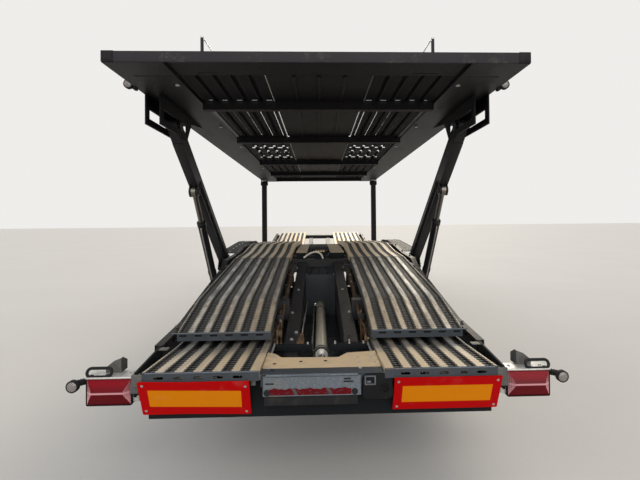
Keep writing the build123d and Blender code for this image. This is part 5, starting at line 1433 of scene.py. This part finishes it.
class TRAILER_OT_stage(bpy.types.Operator):
    """Set the floor, the pale surround, the soft lights and the camera"""

    bl_idname = "trailer.stage"
    bl_label = "Stage"

    def execute(self, context):
        scene, colours = context.scene, context.scene.trailer_colours
        half = scene.trailer_sizes.floor_size / 2
        mesh = bpy.data.meshes.new("studio_floor")
        corners = [(-half, -half, 0), (half, -half, 0), (half, half, 0), (-half, half, 0)]
        mesh.from_pydata(corners, [], [(0, 1, 2, 3)])
        floor = bpy.data.objects.new("studio_floor", mesh)
        scene.collection.objects.link(floor)
        f = Finish("floor")
        grain = f.noise(40, 4)
        patch = f.noise(0.4, 5) * 0.6 + grain * 0.4
        tone = f.mix(patch, tinted(colours.floor, 0.9), tinted(colours.floor, 1.08))
        mesh.materials.append(f.surface(base_color=tone, roughness=0.8, normal=f.bump(grain, 0.1, 0.001)))

        # The backdrop is what camera and glossy rays see, the glow lights everything else
        world = bpy.data.worlds.new("surround")
        scene.world = world
        world.use_nodes = True
        tree = world.node_tree
        tree.nodes.clear()
        path, seen, glow, shown, blend, out = (tree.nodes.new("ShaderNode" + kind) for kind in (
            "LightPath", "Math", "Background", "Background", "MixShader", "OutputWorld"))
        seen.operation = "MAXIMUM"
        shown.inputs[0].default_value = (*colours.backdrop, 1)
        glow.inputs[0].default_value = (0.86, 0.88, 0.92, 1)
        glow.inputs[1].default_value = 0.60
        for start, end in (
            (path.outputs["Is Camera Ray"], seen.inputs[0]), (path.outputs["Is Glossy Ray"], seen.inputs[1]),
            (seen.outputs[0], blend.inputs[0]), (glow.outputs[0], blend.inputs[1]),
            (shown.outputs[0], blend.inputs[2]), (blend.outputs[0], out.inputs[0]),
        ):
            tree.links.new(start, end)

        for name, away, spread, power, tint in (
            ("low_sun", (1.8, 13.0, 7.0), 18, 1.5, (1.0, 0.90, 0.74)),
            ("left_fill", (-9.0, -3.0, 5.0), 60, 0.55, (0.90, 0.95, 1.0)),
            ("rear_fill", (1.5, -9.0, 3.4), 60, 1.5, (1.0, 0.97, 0.94)),
        ):
            lamp = bpy.data.lights.new(name, "SUN")
            lamp.energy, lamp.color, lamp.angle = power, tint, math.radians(spread)
            light = bpy.data.objects.new(name, lamp)
            scene.collection.objects.link(light)
            light.matrix_world = Matrix.Translation(away) @ Matrix(facing(away).tolist()).to_4x4()

        # The camera was fitted to the photo: 482 is its focal length in pixels, 640 the picture's width
        camera = bpy.data.cameras.new("photo_camera")
        camera.sensor_width = 36
        camera.lens = 482.0 / 640 * camera.sensor_width
        camera.shift_x, camera.shift_y = -0.0267, -0.0448
        view = bpy.data.objects.new("photo_camera", camera)
        scene.collection.objects.link(view)
        pan, tilt, roll = (Matrix.Rotation(math.radians(angle), 4, axis) for angle, axis in (
            (-2.18, "Z"), (91.05, "X"), (-0.50, "Z")))
        view.matrix_world = Matrix.Translation(at(-0.011, -2.489, 1.495)) @ (pan @ tilt @ roll)
        scene.camera = view
        scene.view_settings.view_transform = "Standard"
        return {"FINISHED"}


class TRAILER_PT_panel(bpy.types.Panel):
    """Sidebar panel that lists the sizes, the colours and the pieces"""

    bl_label = "Trailer"
    bl_idname = "TRAILER_PT_panel"
    bl_space_type = "VIEW_3D"
    bl_region_type = "UI"
    bl_category = "Trailer"

    def draw(self, context):
        for group in (context.scene.trailer_sizes, context.scene.trailer_colours):
            box = self.layout.box()
            for name in group.bl_rna.properties.keys():
                if name not in ("rna_type", "name"):
                    box.prop(group, name)
        for step in STEPS:
            self.layout.operator(step.bl_idname)


STEPS = (
    TRAILER_OT_finishes, TRAILER_OT_teeth, TRAILER_OT_tail_lamps, TRAILER_OT_marking_plates,
    TRAILER_OT_tail_panel, TRAILER_OT_well, TRAILER_OT_valves, TRAILER_OT_wheels,
    TRAILER_OT_running_gear, TRAILER_OT_lift_gear, TRAILER_OT_deck_edges, TRAILER_OT_side_gear,
    TRAILER_OT_stage,
)
CLASSES = (TrailerSizes, TrailerColours, *STEPS, TRAILER_PT_panel)


def register():
    """Register the classes and give the scene its sizes and colours."""
    for cls in CLASSES:
        bpy.utils.register_class(cls)
    bpy.types.Scene.trailer_sizes = PointerProperty(type=TrailerSizes)
    bpy.types.Scene.trailer_colours = PointerProperty(type=TrailerColours)


def unregister():
    """Take the sizes, the colours and the classes away again."""
    del bpy.types.Scene.trailer_colours
    del bpy.types.Scene.trailer_sizes
    for cls in reversed(CLASSES):
        bpy.utils.unregister_class(cls)


def main():
    """Build all pieces."""
    register()
    for step in STEPS:
        group, name = step.bl_idname.split(".")
        getattr(getattr(bpy.ops, group), name)()


if __name__ == "__main__":
    main()
